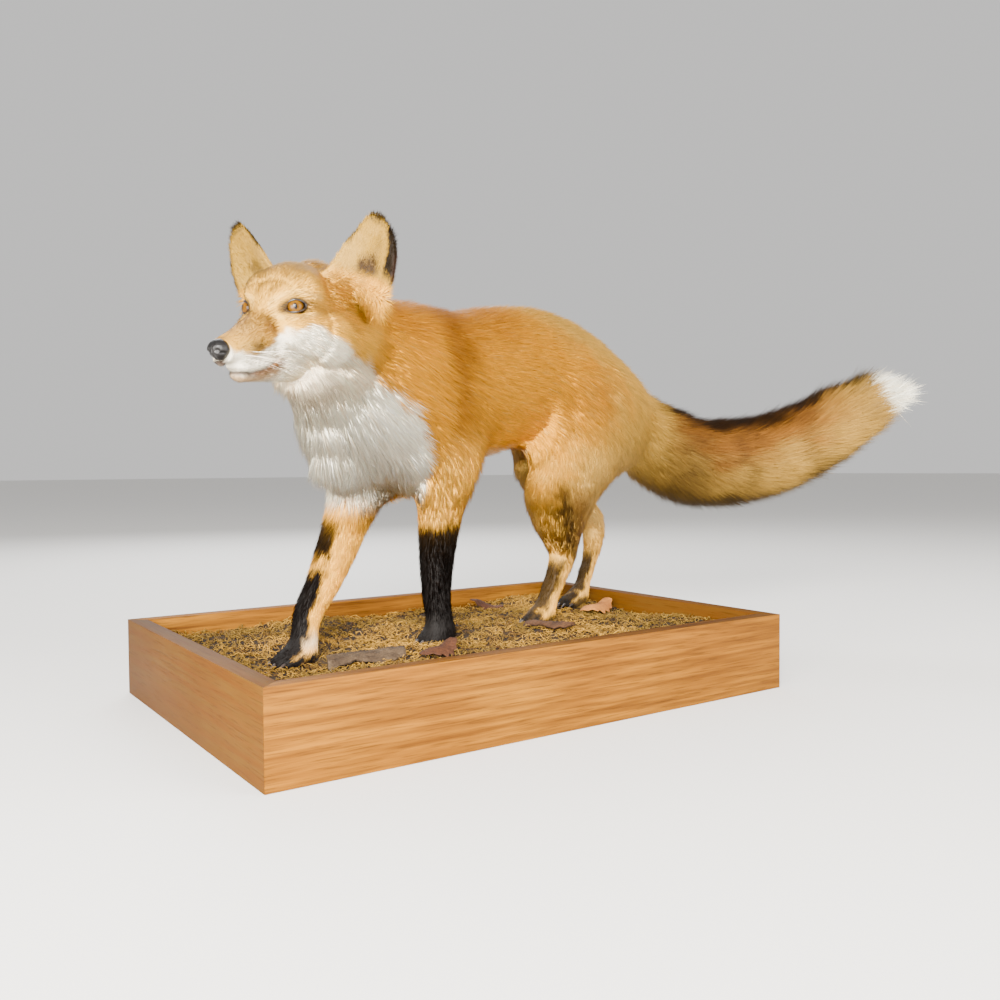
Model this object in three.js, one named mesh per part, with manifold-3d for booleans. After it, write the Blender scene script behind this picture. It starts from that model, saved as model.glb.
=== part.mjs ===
// A mounted red fox that stands on a moss bed in an oak tray, at its real size in millimetres, +Z up.
// The origin is the middle of the tray's underside. +X runs along the tray's long side, to the fox's tail.
// The fox is one smooth field of rounded limbs. It is turned into faceted bodies and parted with thin cuts.
import * as THREE from "three";
import { mergeVertices } from "three/addons/utils/BufferGeometryUtils.js";
import Module from "manifold-3d";

const wasm = await Module();
wasm.setup();

// ---- Driving dimensions ----

const gap = 0.3; // left between pieces that touch
const tray = { length: 650, width: 444, height: 89, board: 19, deck: 12 };
const moss = { level: 69, swell: 5, dip: 11, step: 60, sideGap: 0.5 };
// Where the fox stands on the tray, and where the point between its eyes is. Angles are in degrees.
const stance = { x: -129, y: -15, turn: 12 };
const headPose = { x: -153, y: -55, z: 421, heading: 200, pitch: 7.1, roll: -3 };
const eye = { radius: 9.6, forward: -6.6, side: 24.6, up: 0, turn: 37 };
const lids = { length: 8, width: 12.5, height: 7, ahead: 8.5 }; // the hollow between the eyelids
const nosePad = { forward: 76, up: -38, length: 9, width: 10.5, height: 9.5 };
// The bends are the radii of an ear's curl on both sides of its middle line.
const ear = { x: -74, y: 50, z: 28.5, tilt: 0.07, splay: 0.43, turn: 31,
  height: 86.5, rooted: 16, tipStop: 0.975,
  innerWidth: 36, innerTaper: 0.76, outerWidth: 44, outerTaper: 0.57, outerSwell: 0.76,
  innerBend: 57, outerBend: 41, nod: 8, thickness: 5, rows: 6, columns: 5 };
const claw = { forward: 9, up: 6, length: 12, radius: 2.4, lean: 110, sides: 5 };
// The sizes of the facets along x, y and z
const cell = {
  trunk: [33, 25, 23],
  neck: [25, 22, 22],
  hindLeg: [18, 16, 24],
  frontLeg: [12.5, 12, 24],
  paw: [12, 10, 10],
  tail: [28, 28, 24],
  head: [12, 12, 11.5],
};
const blend = { body: 22, nape: 16, face: 10, foot: 6 }; // how widely neighbours melt together

const colours = {
  oak: 0xb98a58,
  panel: 0xa98a62,
  moss: 0x9a8a4c,
  bark: 0x7c756a,
  leaf: 0x8f6b40,
  tan: 0xc98a45,
  orange: 0xc9772f,
  cream: 0xe8dcc6,
  black: 0x2b2320,
  amber: 0xa8641c,
};

const material = (colour, roughness = 0.9) =>
  new THREE.MeshStandardMaterial({ color: colour, roughness, metalness: 0 });

// ---- Frames ----

const radians = THREE.MathUtils.degToRad;

// The fox's own frame: +x towards its tail, +y to its right side.
const foxGroup = new THREE.Group();
foxGroup.position.set(stance.x, stance.y, 0);
foxGroup.rotation.z = radians(stance.turn);
foxGroup.updateMatrix();

// The head's frame: +x along the muzzle, +y to the head's left side.
const headGroup = new THREE.Group();
headGroup.position.set(headPose.x, headPose.y, headPose.z);
headGroup.rotation.set(radians(headPose.roll), radians(headPose.pitch), radians(headPose.heading), "ZYX");
foxGroup.add(headGroup);
headGroup.updateMatrix();
const headToFox = headGroup.matrix.clone();
const foxToHead = headToFox.clone().invert();
const upright = new THREE.Matrix4();

// ---- Limbs: chains of balls [x, y, z, radius], smoothed and flattened across ----

// A limb is thinner across than its balls say by the flattening factors along x, y and z.
function limb(balls, flatten = [1, 1, 1], intoFrame = upright, spans = 3) {
  const scale = new THREE.Vector3(1 / flatten[0], 1 / flatten[1], 1 / flatten[2]);
  const intoLimb = new THREE.Matrix4().makeScale(scale.x, scale.y, scale.z).multiply(intoFrame);
  const middles = balls.map(([x, y, z]) => new THREE.Vector3(x, y, z).multiply(scale));
  const radii = balls.map(([, , , r], i) => new THREE.Vector3(r, i, 0));
  const path = new THREE.CatmullRomCurve3(middles, false, "centripetal");
  const girth = new THREE.CatmullRomCurve3(radii, false, "centripetal");
  const count = (balls.length - 1) * spans;
  const rings = [];
  for (let i = 0; i <= count; i++) {
    const point = path.getPoint(i / count);
    rings.push({ point, radius: girth.getPoint(i / count).x });
  }
  return { intoLimb, rings, thinnest: Math.min(...flatten) };
}

const probe = new THREE.Vector3();
const along = new THREE.Vector3();
const nearest = new THREE.Vector3();

function limbDistance({ intoLimb, rings, thinnest }, x, y, z) {
  probe.set(x, y, z).applyMatrix4(intoLimb);
  let best = Infinity;
  for (let i = 0; i + 1 < rings.length; i++) {
    const a = rings[i];
    const b = rings[i + 1];
    along.subVectors(b.point, a.point);
    const t = THREE.MathUtils.clamp(nearest.subVectors(probe, a.point).dot(along) / along.lengthSq(), 0, 1);
    nearest.copy(a.point).addScaledVector(along, t);
    best = Math.min(best, nearest.distanceTo(probe) - THREE.MathUtils.lerp(a.radius, b.radius, t));
  }
  return best * thinnest;
}

function smoothMin(a, b, blend) {
  const h = Math.max(blend - Math.abs(a - b), 0) / blend;
  return Math.min(a, b) - (h * h * blend) / 4;
}

// Fields are below zero inside. Neighbours melt together over the blend.
const melted = (fields, blend) => (x, y, z) =>
  fields.reduce((sum, field) => smoothMin(sum, field(x, y, z), blend), 1e3);
const fieldOf = (limbs, blend) =>
  melted(limbs.map((one) => (x, y, z) => limbDistance(one, x, y, z)), blend);

const mirrored = (balls) => [balls, balls.map(([x, y, z, r]) => [x, -y, z, r])];

// Trunk and neck
const barrel = limb(
  [[10, 0, 362, 84], [70, 0, 361, 93], [130, 0, 364, 95], [200, 0, 378, 94], [270, 0, 389, 92],
    [340, 0, 375, 94], [392, 0, 352, 89]],
  [1, 0.8, 1],
);
const chest = limb(
  [[40, 0, 330, 74], [-5, -2, 320, 66], [-30, -5, 318, 50], [-34, -5, 288, 42]],
  [1, 0.95, 1],
);
const shoulders = mirrored([[40, 42, 385, 42], [72, 40, 325, 50], [84, 38, 275, 42]])
  .map((balls) => limb(balls, [1, 0.9, 1]));
const neckColumn = limb(
  [[62, 0, 381, 75], [18, -8, 388, 69], [-36, -20, 399, 60], [-88, -32, 414, 51]],
  [1, 0.92, 1],
);
const throat = limb([[-10, -10, 342, 54], [-52, -18, 350, 46], [-88, -34, 372, 38]], [1, 1.05, 1]);
const haunches = mirrored([[330, 34, 368, 66], [388, 36, 348, 68], [426, 32, 326, 57]])
  .map((balls) => limb(balls, [1, 0.74, 1]));

// Legs, each from its joint with the body to the wrist or hock, and its foot
const legs = {
  front_left: {
    leg: limb([[92, -42, 275, 38], [86, -37, 232, 30], [83, -34, 195, 26], [82, -31, 150, 22],
      [84, -29, 112, 18.5], [92, -28, 84, 17]]),
    foot: { x: 98, y: -28, reach: 27, sole: 61 },
  },
  front_right: {
    leg: limb([[38, 42, 270, 42], [14, 39, 222, 30], [-10, 36, 176, 26], [-32, 34, 138, 22],
      [-53, 31, 110, 19], [-66, 22, 80, 17]]),
    foot: { x: -66, y: 18, reach: 30, sole: 54 },
  },
  hind_left: {
    leg: limb([[293, -41, 226, 42], [296, -39, 190, 30], [306, -36, 155, 22], [297, -35, 132, 19],
      [281, -34, 105, 16.5], [270, -33, 84, 15.5]]),
    thigh: limb(
      [[387, -44, 332, 68], [328, -48, 292, 67], [293, -46, 252, 58], [292, -41, 222, 44]],
      [1, 0.68, 1],
    ),
    foot: { x: 272, y: -33, reach: 26, sole: 63 },
  },
  hind_right: {
    leg: limb([[396, 41, 232, 38], [430, 39, 208, 29], [466, 38, 188, 22], [470, 37, 168, 19],
      [456, 36, 130, 16.5], [438, 34, 98, 15.5], [426, 34, 82, 15]]),
    thigh: limb([[394, 44, 332, 68], [368, 48, 285, 58], [388, 42, 240, 43]], [1, 0.68, 1]),
    foot: { x: 428, y: 34, reach: 27, sole: 62 },
  },
};
const limbsOf = ({ leg, thigh }) => (thigh ? [leg, thigh] : [leg]);

// A foot has a pad and four toes ahead of it. Its sole is pressed a little into the moss.
const toes = { spread: [-12, -4.5, 4.5, 12], middleExtra: 7, rootRadius: 9, radius: 8.2 };
const pad = { radius: 16, heel: 15, front: 13 };
const toeReach = (reach, i) => (i === 0 || i === 3 ? reach : reach + toes.middleExtra);
function footOf({ x, y, reach, sole }) {
  const ballOfPad = limb(
    [[x, y, sole + pad.heel, pad.radius], [x - reach * 0.6, y, sole + pad.front, pad.radius]],
    [1, 1.05, 1],
  );
  const toeLimbs = toes.spread.map((side, i) =>
    limb([
      [x - reach * 0.5, y + side * 0.8, sole + 12, toes.rootRadius],
      [x - toeReach(reach, i), y + side, sole + 8.5, toes.radius],
    ]));
  return [ballOfPad, ...toeLimbs];
}

// Tail
const brush = limb(
  [[455, -6, 346, 58], [484, -9, 331, 60], [516, -16, 315, 64], [579, -44, 282, 71], [626, -76, 276, 72],
    [666, -113, 281, 70], [698, -155, 296, 67], [724, -199, 322, 63], [745, -236, 347, 57],
    [760, -262, 363, 46], [772, -282, 371, 28]],
  [0.93, 0.93, 1],
);

// Head, in the head's frame
const skull = limb([[-66, 0, 2, 49], [-38, 0, 7, 44], [-8, 0, 2, 33]], [1, 0.98, 1], foxToHead);
const muzzle = limb(
  [[-6, 0, -9, 30], [22, 0, -23, 23], [48, 0, -33, 18], [73, 0, -39, 12.5]],
  [1, 0.96, 1],
  foxToHead,
);
const jaw = limb([[-26, 0, -48, 26], [14, 0, -53, 18], [48, 0, -57, 12]], [1, 1.05, 1], foxToHead);
const brows = mirrored([[-20, 24, 16, 20], [1, 18, 7, 12]])
  .map((balls) => limb(balls, [1, 1, 1], foxToHead));
const cheeks = mirrored([[-8, 24, -22, 20], [-38, 36, -28, 29], [-66, 45, -36, 27]])
  .map((balls) => limb(balls, [1, 1, 1], foxToHead));

// ---- From a field to a closed body ----

const corners = [0, 1, 2, 3, 4, 5, 6, 7].map((i) => [i & 1, (i >> 1) & 1, (i >> 2) & 1]);
const cornersApart = (a, b) => Math.abs(a[0] - b[0]) + Math.abs(a[1] - b[1]) + Math.abs(a[2] - b[2]);
const cellEdges = corners.flatMap((a, i) =>
  corners.flatMap((b, j) => (j > i && cornersApart(a, b) === 1 ? [[i, j]] : [])));

// Surface nets: one vertex in each cell that the surface crosses, then moved onto the surface itself.
function facet(field, low, high, cell) {
  const counts = low.map((value, axis) => Math.ceil((high[axis] - value) / cell[axis]) + 1);
  const at = (i, j, k) => i + counts[0] * (j + counts[1] * k);
  const inBox = (x, y, z) => Math.max(
    field(x, y, z),
    low[0] + cell[0] - x, x - high[0] + cell[0],
    low[1] + cell[1] - y, y - high[1] + cell[1],
    low[2] + cell[2] - z, z - high[2] + cell[2],
  );
  const values = new Float32Array(counts[0] * counts[1] * counts[2]);
  for (let k = 0; k < counts[2]; k++)
    for (let j = 0; j < counts[1]; j++)
      for (let i = 0; i < counts[0]; i++)
        values[at(i, j, k)] = inBox(low[0] + i * cell[0], low[1] + j * cell[1], low[2] + k * cell[2]);

  const vertexOf = new Int32Array(values.length).fill(-1);
  const vertices = [];
  for (let k = 0; k + 1 < counts[2]; k++)
    for (let j = 0; j + 1 < counts[1]; j++)
      for (let i = 0; i + 1 < counts[0]; i++) {
        const value = corners.map(([x, y, z]) => values[at(i + x, j + y, k + z)]);
        const crossings = cellEdges.filter(([a, b]) => value[a] < 0 !== value[b] < 0);
        if (!crossings.length) continue;
        const middle = [0, 0, 0];
        for (const [a, b] of crossings) {
          const t = value[a] / (value[a] - value[b]);
          for (let axis = 0; axis < 3; axis++)
            middle[axis] += THREE.MathUtils.lerp(corners[a][axis], corners[b][axis], t) / crossings.length;
        }
        vertexOf[at(i, j, k)] = vertices.length / 3;
        const start = low.map((value, axis) => value + ([i, j, k][axis] + middle[axis]) * cell[axis]);
        vertices.push(...ontoSurface(inBox, start, cell));
      }

  const triangles = [];
  const steps = [[1, 0, 0], [0, 1, 0], [0, 0, 1]];
  for (let k = 1; k + 1 < counts[2]; k++)
    for (let j = 1; j + 1 < counts[1]; j++)
      for (let i = 1; i + 1 < counts[0]; i++)
        for (let axis = 0; axis < 3; axis++) {
          const [dx, dy, dz] = steps[axis];
          const here = values[at(i, j, k)] < 0;
          if (here === values[at(i + dx, j + dy, k + dz)] < 0) continue;
          const u = steps[(axis + 1) % 3];
          const v = steps[(axis + 2) % 3];
          const ring = [[0, 0], [1, 0], [1, 1], [0, 1]].map(([p, q]) =>
            vertexOf[at(i - p * u[0] - q * v[0], j - p * u[1] - q * v[1], k - p * u[2] - q * v[2])]);
          if (!here) ring.reverse();
          triangles.push(ring[0], ring[1], ring[2], ring[0], ring[2], ring[3]);
        }
  return solid(vertices, triangles);
}

// A few steps along the field's slope, kept within half a cell
function ontoSurface(field, start, cell) {
  const point = [...start];
  const h = 0.4;
  for (let round = 0; round < 3; round++) {
    const slope = [0, 1, 2].map((axis) => {
      const ahead = point.map((value, i) => value + (i === axis ? h : 0));
      const behind = point.map((value, i) => value - (i === axis ? h : 0));
      return (field(...ahead) - field(...behind)) / (2 * h);
    });
    const steepness = slope[0] ** 2 + slope[1] ** 2 + slope[2] ** 2;
    if (steepness < 0.01) break;
    const amount = field(...point) / steepness;
    for (let axis = 0; axis < 3; axis++) point[axis] -= amount * slope[axis];
  }
  return point.map((value, axis) =>
    THREE.MathUtils.clamp(value, start[axis] - cell[axis] / 2, start[axis] + cell[axis] / 2));
}

const solid = (vertices, triangles) =>
  new wasm.Manifold(new wasm.Mesh({
    numProp: 3,
    vertProperties: new Float32Array(vertices),
    triVerts: new Uint32Array(triangles),
  }));

// A three.js shape, placed by a matrix, as a solid
function solidOf(geometry, matrix = upright) {
  const bare = geometry.clone();
  bare.deleteAttribute("normal");
  bare.deleteAttribute("uv");
  const merged = mergeVertices(bare, 1e-3).applyMatrix4(matrix);
  return solid(merged.attributes.position.array, merged.index.array);
}

function geometryOf(body) {
  const mesh = body.getMesh();
  const points = new Float32Array((mesh.vertProperties.length / mesh.numProp) * 3);
  for (let i = 0; i < points.length / 3; i++)
    for (let axis = 0; axis < 3; axis++) points[i * 3 + axis] = mesh.vertProperties[i * mesh.numProp + axis];
  const geometry = new THREE.BufferGeometry();
  geometry.setAttribute("position", new THREE.BufferAttribute(points, 3));
  geometry.setIndex(new THREE.BufferAttribute(new Uint32Array(mesh.triVerts), 1));
  geometry.computeVertexNormals();
  return geometry;
}

// ---- Cuts ----

// A cut is a plane through a point. Its front is the side that the normal points to.
const cut = (point, normal) => ({
  point: new THREE.Vector3(...point),
  normal: new THREE.Vector3(...normal).normalize(),
});

// A big block that fills one side of a cut, up to half the gap from its plane.
function block({ point, normal }, front) {
  const size = 1600; // wider than the whole animal
  const whole = new THREE.Vector3(1, 1, 1);
  const away = normal.clone().multiplyScalar(front ? 1 : -1);
  const turn = new THREE.Quaternion().setFromUnitVectors(new THREE.Vector3(0, 0, 1), away);
  const middle = point.clone().addScaledVector(away, size / 2 - gap / 2);
  return solidOf(new THREE.BoxGeometry(size, size, size), new THREE.Matrix4().compose(middle, turn, whole));
}

// What is left of a body behind some cuts and in front of others
function part(body, { behind = [], front = [] }) {
  let rest = body;
  for (const one of behind) rest = rest.subtract(block(one, true));
  for (const one of front) rest = rest.subtract(block(one, false));
  return rest;
}

const inFox = (point) => new THREE.Vector3(...point).applyMatrix4(headToFox).toArray();
const dirInFox = (dir) => new THREE.Vector3(...dir).transformDirection(headToFox).toArray();

const cuts = {
  nape: cut(inFox([-82, 0, 0]), dirInFox([-0.9, 0, -0.43])), // front is the neck's side
  collar: cut([8, 0, 393], [0.68, 0, -0.73]), // front is the trunk's side
  elbow: cut([0, 0, 250], [0, 0, 1]),
  haunch: cut([210, 0, 252], [-0.353, 0, 0.935]),
  rump: cut([497, -12, 330], [0.95, -0.31, -0.05]),
  midline: cut([0, 0, 0], [0, 1, 0]), // front is the right side
  loin: cut([168, 0, 0], [1, 0, 0]),
  ankle: cut([0, 0, 92], [0, 0, 1]),
  tailNear: cut([612, -64, 277], [0.8, -0.6, -0.1]),
  tailFar: cut([712, -178, 307], [0.5, -0.78, 0.36]),
};

// ---- The animal ----

const trunkField = fieldOf([barrel, chest, ...shoulders, ...haunches], blend.body);
const neckField = fieldOf([neckColumn, throat], blend.body);
const headField = fieldOf([skull, muzzle, jaw, ...brows, ...cheeks], blend.face);
const tailField = fieldOf([brush], blend.body);
const buried = []; // bodies in the tray's frame that the moss leaves room for

const addMesh = (group, name, geometry, colour, roughness) => {
  const mesh = new THREE.Mesh(geometry, material(colour, roughness));
  mesh.name = name;
  group.add(mesh);
  return mesh;
};
// A cut can leave slivers of a neighbour, so the largest piece is kept.
const largest = (body) => body.decompose().sort((a, b) => b.volume() - a.volume())[0];
const addBody = (name, body, colour, group = foxGroup) =>
  addMesh(group, name, geometryOf(largest(body)), colour);

function makeTrunkAndNeck() {
  const legFields = Object.values(legs).map((one) => fieldOf(limbsOf(one), blend.body));
  const whole = melted([trunkField, neckField, tailField, ...legFields], blend.body);
  const frontLegRoom = block(cuts.elbow, false).subtract(block(cuts.loin, true));
  const hindLegRoom = block(cuts.haunch, false).subtract(block(cuts.loin, false));
  const trunk = part(facet(whole, [-130, -150, 190], [570, 150, 530], cell.trunk),
    { front: [cuts.collar], behind: [cuts.rump] });
  addBody("trunk", trunk.subtract(frontLegRoom).subtract(hindLegRoom), colours.orange);
  const joined = melted([trunkField, neckField, headField], blend.body);
  const neck = facet(joined, [-210, -170, 220], [130, 130, 530], cell.neck);
  addBody("neck", part(neck, { front: [cuts.nape], behind: [cuts.collar] }), colours.orange);
}

function clawsOf({ x, y, reach, sole }) {
  return toes.spread.map((side, i) => {
    const tip = x - toeReach(reach, i) - claw.forward;
    const place = new THREE.Matrix4().makeTranslation(tip, y + side, sole + claw.up);
    const lean = new THREE.Matrix4().makeRotationY(radians(-claw.lean));
    const cone = new THREE.ConeGeometry(claw.radius, claw.length, claw.sides);
    return solidOf(cone.rotateX(Math.PI / 2), place.multiply(lean));
  });
}

function makeLeg(name, shape) {
  const { leg, foot } = shape;
  const isHind = name.startsWith("hind");
  const isRight = name.endsWith("right");
  const footField = fieldOf(footOf(foot), blend.foot);
  const near = isHind ? [trunkField, tailField] : [trunkField];
  const flesh = melted([...near, fieldOf(limbsOf(shape), blend.body)], blend.body);
  const field = melted([flesh, footField], blend.foot);
  const reach = leg.rings.map(({ point }) => point.x);
  const box = isHind ? { back: 540, top: 410 } : { back: Math.max(...reach) + 120, top: 300 };
  const low = [Math.min(...reach) - 100, isRight ? -30 : -140, foot.sole - 20];
  const high = [box.back, isRight ? 140 : 30, box.top];
  const side = isRight ? { front: [cuts.midline] } : { behind: [cuts.midline] };
  const top = isHind
    ? { behind: [cuts.haunch, cuts.rump], front: [cuts.loin] }
    : { behind: [cuts.elbow, cuts.loin] };
  const whole = part(part(facet(field, low, high, isHind ? cell.hindLeg : cell.frontLeg), side), top);
  addBody(`leg_${name}`, part(whole, { front: [cuts.ankle] }), isHind ? colours.orange : colours.tan);

  const footLow = [foot.x - foot.reach - 32, foot.y - 36, foot.sole - 18];
  const footHigh = [foot.x + 36, foot.y + 36, 114];
  const pawField = melted([fieldOf([leg], blend.body), footField], blend.foot);
  const paw = part(facet(pawField, footLow, footHigh, cell.paw), { behind: [cuts.ankle] });
  const clawed = clawsOf(foot).reduce((sum, one) => sum.add(one), paw);
  addBody(`paw_${name}`, clawed, colours.black);
  buried.push(footprintOf(foot, clawed.boundingBox().min[2]));
}

// The room that a foot takes in the moss: an upright oval well down to the soles
const well = { extraLength: 20, halfWidth: 33, depth: 60, ahead: 5 };
function footprintOf({ x, y, reach }, lowest) {
  const oval = new THREE.Shape().absellipse(0, 0, reach + well.extraLength, well.halfWidth, 0, 2 * Math.PI);
  const shaft = new THREE.ExtrudeGeometry(oval, { depth: well.depth, bevelEnabled: false, curveSegments: 5 });
  const spot = new THREE.Matrix4().makeTranslation(x - reach / 2 - well.ahead, y, lowest - gap);
  return solidOf(shaft, foxGroup.matrix.clone().multiply(spot));
}

function makeTail() {
  const field = melted([trunkField, tailField], blend.body);
  const free = part(facet(field, [400, -380, 160], [850, 110, 470], cell.tail), { front: [cuts.rump] });
  addBody("tail_root", part(free, { behind: [cuts.tailNear] }), colours.tan);
  addBody("tail_middle", part(free, { front: [cuts.tailNear], behind: [cuts.tailFar] }), colours.orange);
  addBody("tail_tip", part(free, { front: [cuts.tailFar] }), colours.cream);
}

// A closed thin body: a net of points on each of its two faces, and a rim that joins them.
// pointAt takes u and v from 0 to 1 and the face, -1 or 1.
function sheetGeometry(rows, columns, pointAt) {
  const points = [];
  for (const face of [-1, 1])
    for (let row = 0; row <= rows; row++)
      for (let column = 0; column <= columns; column++)
        points.push(...pointAt(row / rows, column / columns, face));
  const at = (row, column) => row * (columns + 1) + column;
  const sheet = (rows + 1) * (columns + 1);
  const faces = [];
  for (let row = 0; row < rows; row++)
    for (let column = 0; column < columns; column++) {
      const a = at(row, column);
      const b = at(row, column + 1);
      const c = at(row + 1, column + 1);
      const d = at(row + 1, column);
      faces.push(a, b, c, a, c, d);
      faces.push(a + sheet, c + sheet, b + sheet, a + sheet, d + sheet, c + sheet);
    }
  const rim = [];
  for (let column = 0; column < columns; column++) rim.push(at(0, column));
  for (let row = 0; row < rows; row++) rim.push(at(row, columns));
  for (let column = columns; column > 0; column--) rim.push(at(rows, column));
  for (let row = rows; row > 0; row--) rim.push(at(row, 0));
  rim.forEach((a, i) => {
    const b = rim[(i + 1) % rim.length];
    faces.push(a, b + sheet, b, a, a + sheet, b + sheet);
  });
  const geometry = new THREE.BufferGeometry();
  geometry.setAttribute("position", new THREE.Float32BufferAttribute(points, 3));
  geometry.setIndex(faces);
  return geometry;
}

// An ear is a cupped leaf with a straight inner edge and a round outer one. In its own frame +x is the way it
// faces, +z its tip, and +y runs to its outer edge on the left ear and to its inner edge on the right one.
function earGeometry(side, grown = 0) {
  return sheetGeometry(ear.rows, ear.columns, (u, v, face) => {
    const rise = u * ear.tipStop;
    const inner = ear.innerWidth * (1 - rise) ** ear.innerTaper;
    const outer = ear.outerWidth * (1 - rise) ** ear.outerTaper * (1 + ear.outerSwell * rise);
    const across = THREE.MathUtils.lerp(-inner - grown, outer + grown, v);
    const bend = across < 0 ? ear.innerBend : ear.outerBend;
    const curl = across / bend;
    const reach = bend + face * side * (ear.thickness / 2 + grown);
    const lift = grown * (u * 2 - 1);
    return [
      bend - reach * Math.cos(curl) + ear.nod * rise ** 2,
      reach * Math.sin(curl) * side,
      rise * ear.height - ear.rooted + lift,
    ];
  });
}

function earFrame(side) {
  const up = new THREE.Vector3(ear.tilt, side * ear.splay, 1).normalize();
  const facing = new THREE.Vector3(Math.cos(radians(ear.turn)), side * Math.sin(radians(ear.turn)), 0);
  const across = new THREE.Vector3().crossVectors(up, facing).normalize();
  facing.crossVectors(across, up);
  return new THREE.Matrix4().makeBasis(facing, across, up).setPosition(ear.x, side * ear.y, ear.z);
}

const ellipsoid = ({ length, width, height }, grown, segments) =>
  new THREE.SphereGeometry(1, segments, segments / 2).scale(length + grown, width + grown, height + grown);

function makeHead() {
  const field = melted([neckField, headField], blend.nape);
  const rough = facet(field, [-260, -170, 310], [-20, 60, 530], cell.head);
  let head = part(rough, { behind: [cuts.nape] });
  const carve = (geometry, matrix) => {
    head = head.subtract(solidOf(geometry, headToFox.clone().multiply(matrix)));
  };
  const nosePlace = new THREE.Matrix4().makeTranslation(nosePad.forward, 0, nosePad.up);
  carve(ellipsoid(nosePad, gap, 12), nosePlace);
  addMesh(headGroup, "nose", ellipsoid(nosePad, 0, 12), colours.black, 0.5)
    .position.set(nosePad.forward, 0, nosePad.up);
  for (const [name, side] of [["left", 1], ["right", -1]]) {
    const eyePlace = new THREE.Matrix4().makeTranslation(eye.forward, side * eye.side, eye.up);
    const ball = { length: eye.radius, width: eye.radius, height: eye.radius };
    carve(ellipsoid(ball, gap, 12), eyePlace);
    const slit = new THREE.Matrix4().makeRotationZ(side * radians(eye.turn))
      .multiply(new THREE.Matrix4().makeTranslation(lids.ahead, 0, 0));
    carve(ellipsoid(lids, 0, 12), eyePlace.clone().multiply(slit));
    addMesh(headGroup, `eye_${name}`, ellipsoid(ball, 0, 12), colours.amber, 0.1)
      .position.set(eye.forward, side * eye.side, eye.up);
    carve(earGeometry(side, 3 * gap), earFrame(side));
    const earMesh = addMesh(headGroup, `ear_${name}`, earGeometry(side), colours.black);
    earMesh.applyMatrix4(earFrame(side));
  }
  addBody("head", head, colours.tan);
}

// ---- The tray ----

const trayGroup = new THREE.Group();

function makeBoards() {
  const halfLength = tray.length / 2;
  const halfWidth = tray.width / 2;
  const sides = [["board_near", tray.length, halfWidth, 0], ["board_tail_end", tray.width, halfLength, 90],
    ["board_far", tray.length, halfWidth, 180], ["board_head_end", tray.width, halfLength, 270]];
  for (const [name, length, out, turn] of sides) {
    const end = length / 2 - gap;
    const outline = new THREE.Shape([
      new THREE.Vector2(-end, 0), new THREE.Vector2(end, 0),
      new THREE.Vector2(end - tray.board, tray.board), new THREE.Vector2(-end + tray.board, tray.board)]);
    const plank = new THREE.ExtrudeGeometry(outline, { depth: tray.height, bevelEnabled: false });
    const board = addMesh(trayGroup, name, plank, colours.oak, 0.6);
    board.rotation.z = radians(turn);
    board.position.set(out * Math.sin(radians(turn)), -out * Math.cos(radians(turn)), 0);
  }
  const inner = { length: tray.length - 2 * (tray.board + gap), width: tray.width - 2 * (tray.board + gap) };
  addMesh(trayGroup, "deck", new THREE.BoxGeometry(inner.length, inner.width, tray.deck), colours.panel, 0.8)
    .position.z = tray.deck / 2;
}

// Low mounds, with a dip under the reaching forefoot
function mossHeight(x, y) {
  const mounds = 0.7 * Math.sin(x / 61 + 0.6) * Math.cos(y / 47 - 0.4) + 0.45 * Math.sin(x / 27 + y / 33);
  const dip = Math.exp(-(((x + 235) / 75) ** 2) - ((y + 75) / 90) ** 2);
  return moss.level + moss.swell * mounds - moss.dip * dip;
}

// Bark lies as a curved slab and leaves as bent sheets.
const bark = { pointed: false };
const leaf = { pointed: true, thickness: 1.4 };
const litter = [
  { ...bark, name: "bark_near", x: -152, y: -66, turn: -22, length: 82, width: 34, thickness: 5,
    arch: 9, lift: 4, tip: 4 },
  { ...bark, name: "bark_mid", x: 104, y: -52, turn: -62, length: 62, width: 18, thickness: 4,
    arch: 5, lift: 5, tip: 2 },
  { ...leaf, name: "leaf_near", x: -88, y: -108, turn: 20, length: 52, width: 30, arch: 8, lift: 5, tip: 10 },
  { ...leaf, name: "leaf_mid", x: 148, y: 152, turn: -30, length: 48, width: 28, arch: 7, lift: 5, tip: -12 },
  { ...leaf, name: "leaf_far", x: 260, y: 42, turn: 15, length: 64, width: 32, arch: 9, lift: 9, tip: 8 },
];

function litterGeometry(piece, grown = 0) {
  const rows = 4;
  const columns = 3;
  return sheetGeometry(rows, columns, (u, v, face) => {
    const lengthways = (u - 0.5) * (piece.length + 2 * grown);
    const taper = piece.pointed
      ? 0.16 + 0.84 * Math.sin(Math.PI * (0.08 + 0.84 * u))
      : 0.86 + 0.14 * Math.cos(u * 9);
    const across = (v - 0.5) * (piece.width * taper + 2 * grown);
    const ripple = piece.pointed ? 2 * Math.sin(u * 7) : 0;
    const bend = piece.arch * (0.5 - (2 * across / piece.width) ** 2) + ripple;
    return [lengthways, across, bend + face * (piece.thickness / 2 + grown)];
  });
}

function makeLitter() {
  for (const piece of litter) {
    const place = new THREE.Object3D();
    place.position.set(piece.x, piece.y, mossHeight(piece.x, piece.y) + piece.lift);
    place.rotation.set(0, radians(-piece.tip), radians(piece.turn), "ZYX");
    place.updateMatrix();
    const colour = piece.pointed ? colours.leaf : colours.bark;
    const mesh = addMesh(trayGroup, piece.name, litterGeometry(piece), colour);
    mesh.applyMatrix4(place.matrix);
    buried.push(solidOf(litterGeometry(piece, 2 * gap), place.matrix));
  }
}

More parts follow.
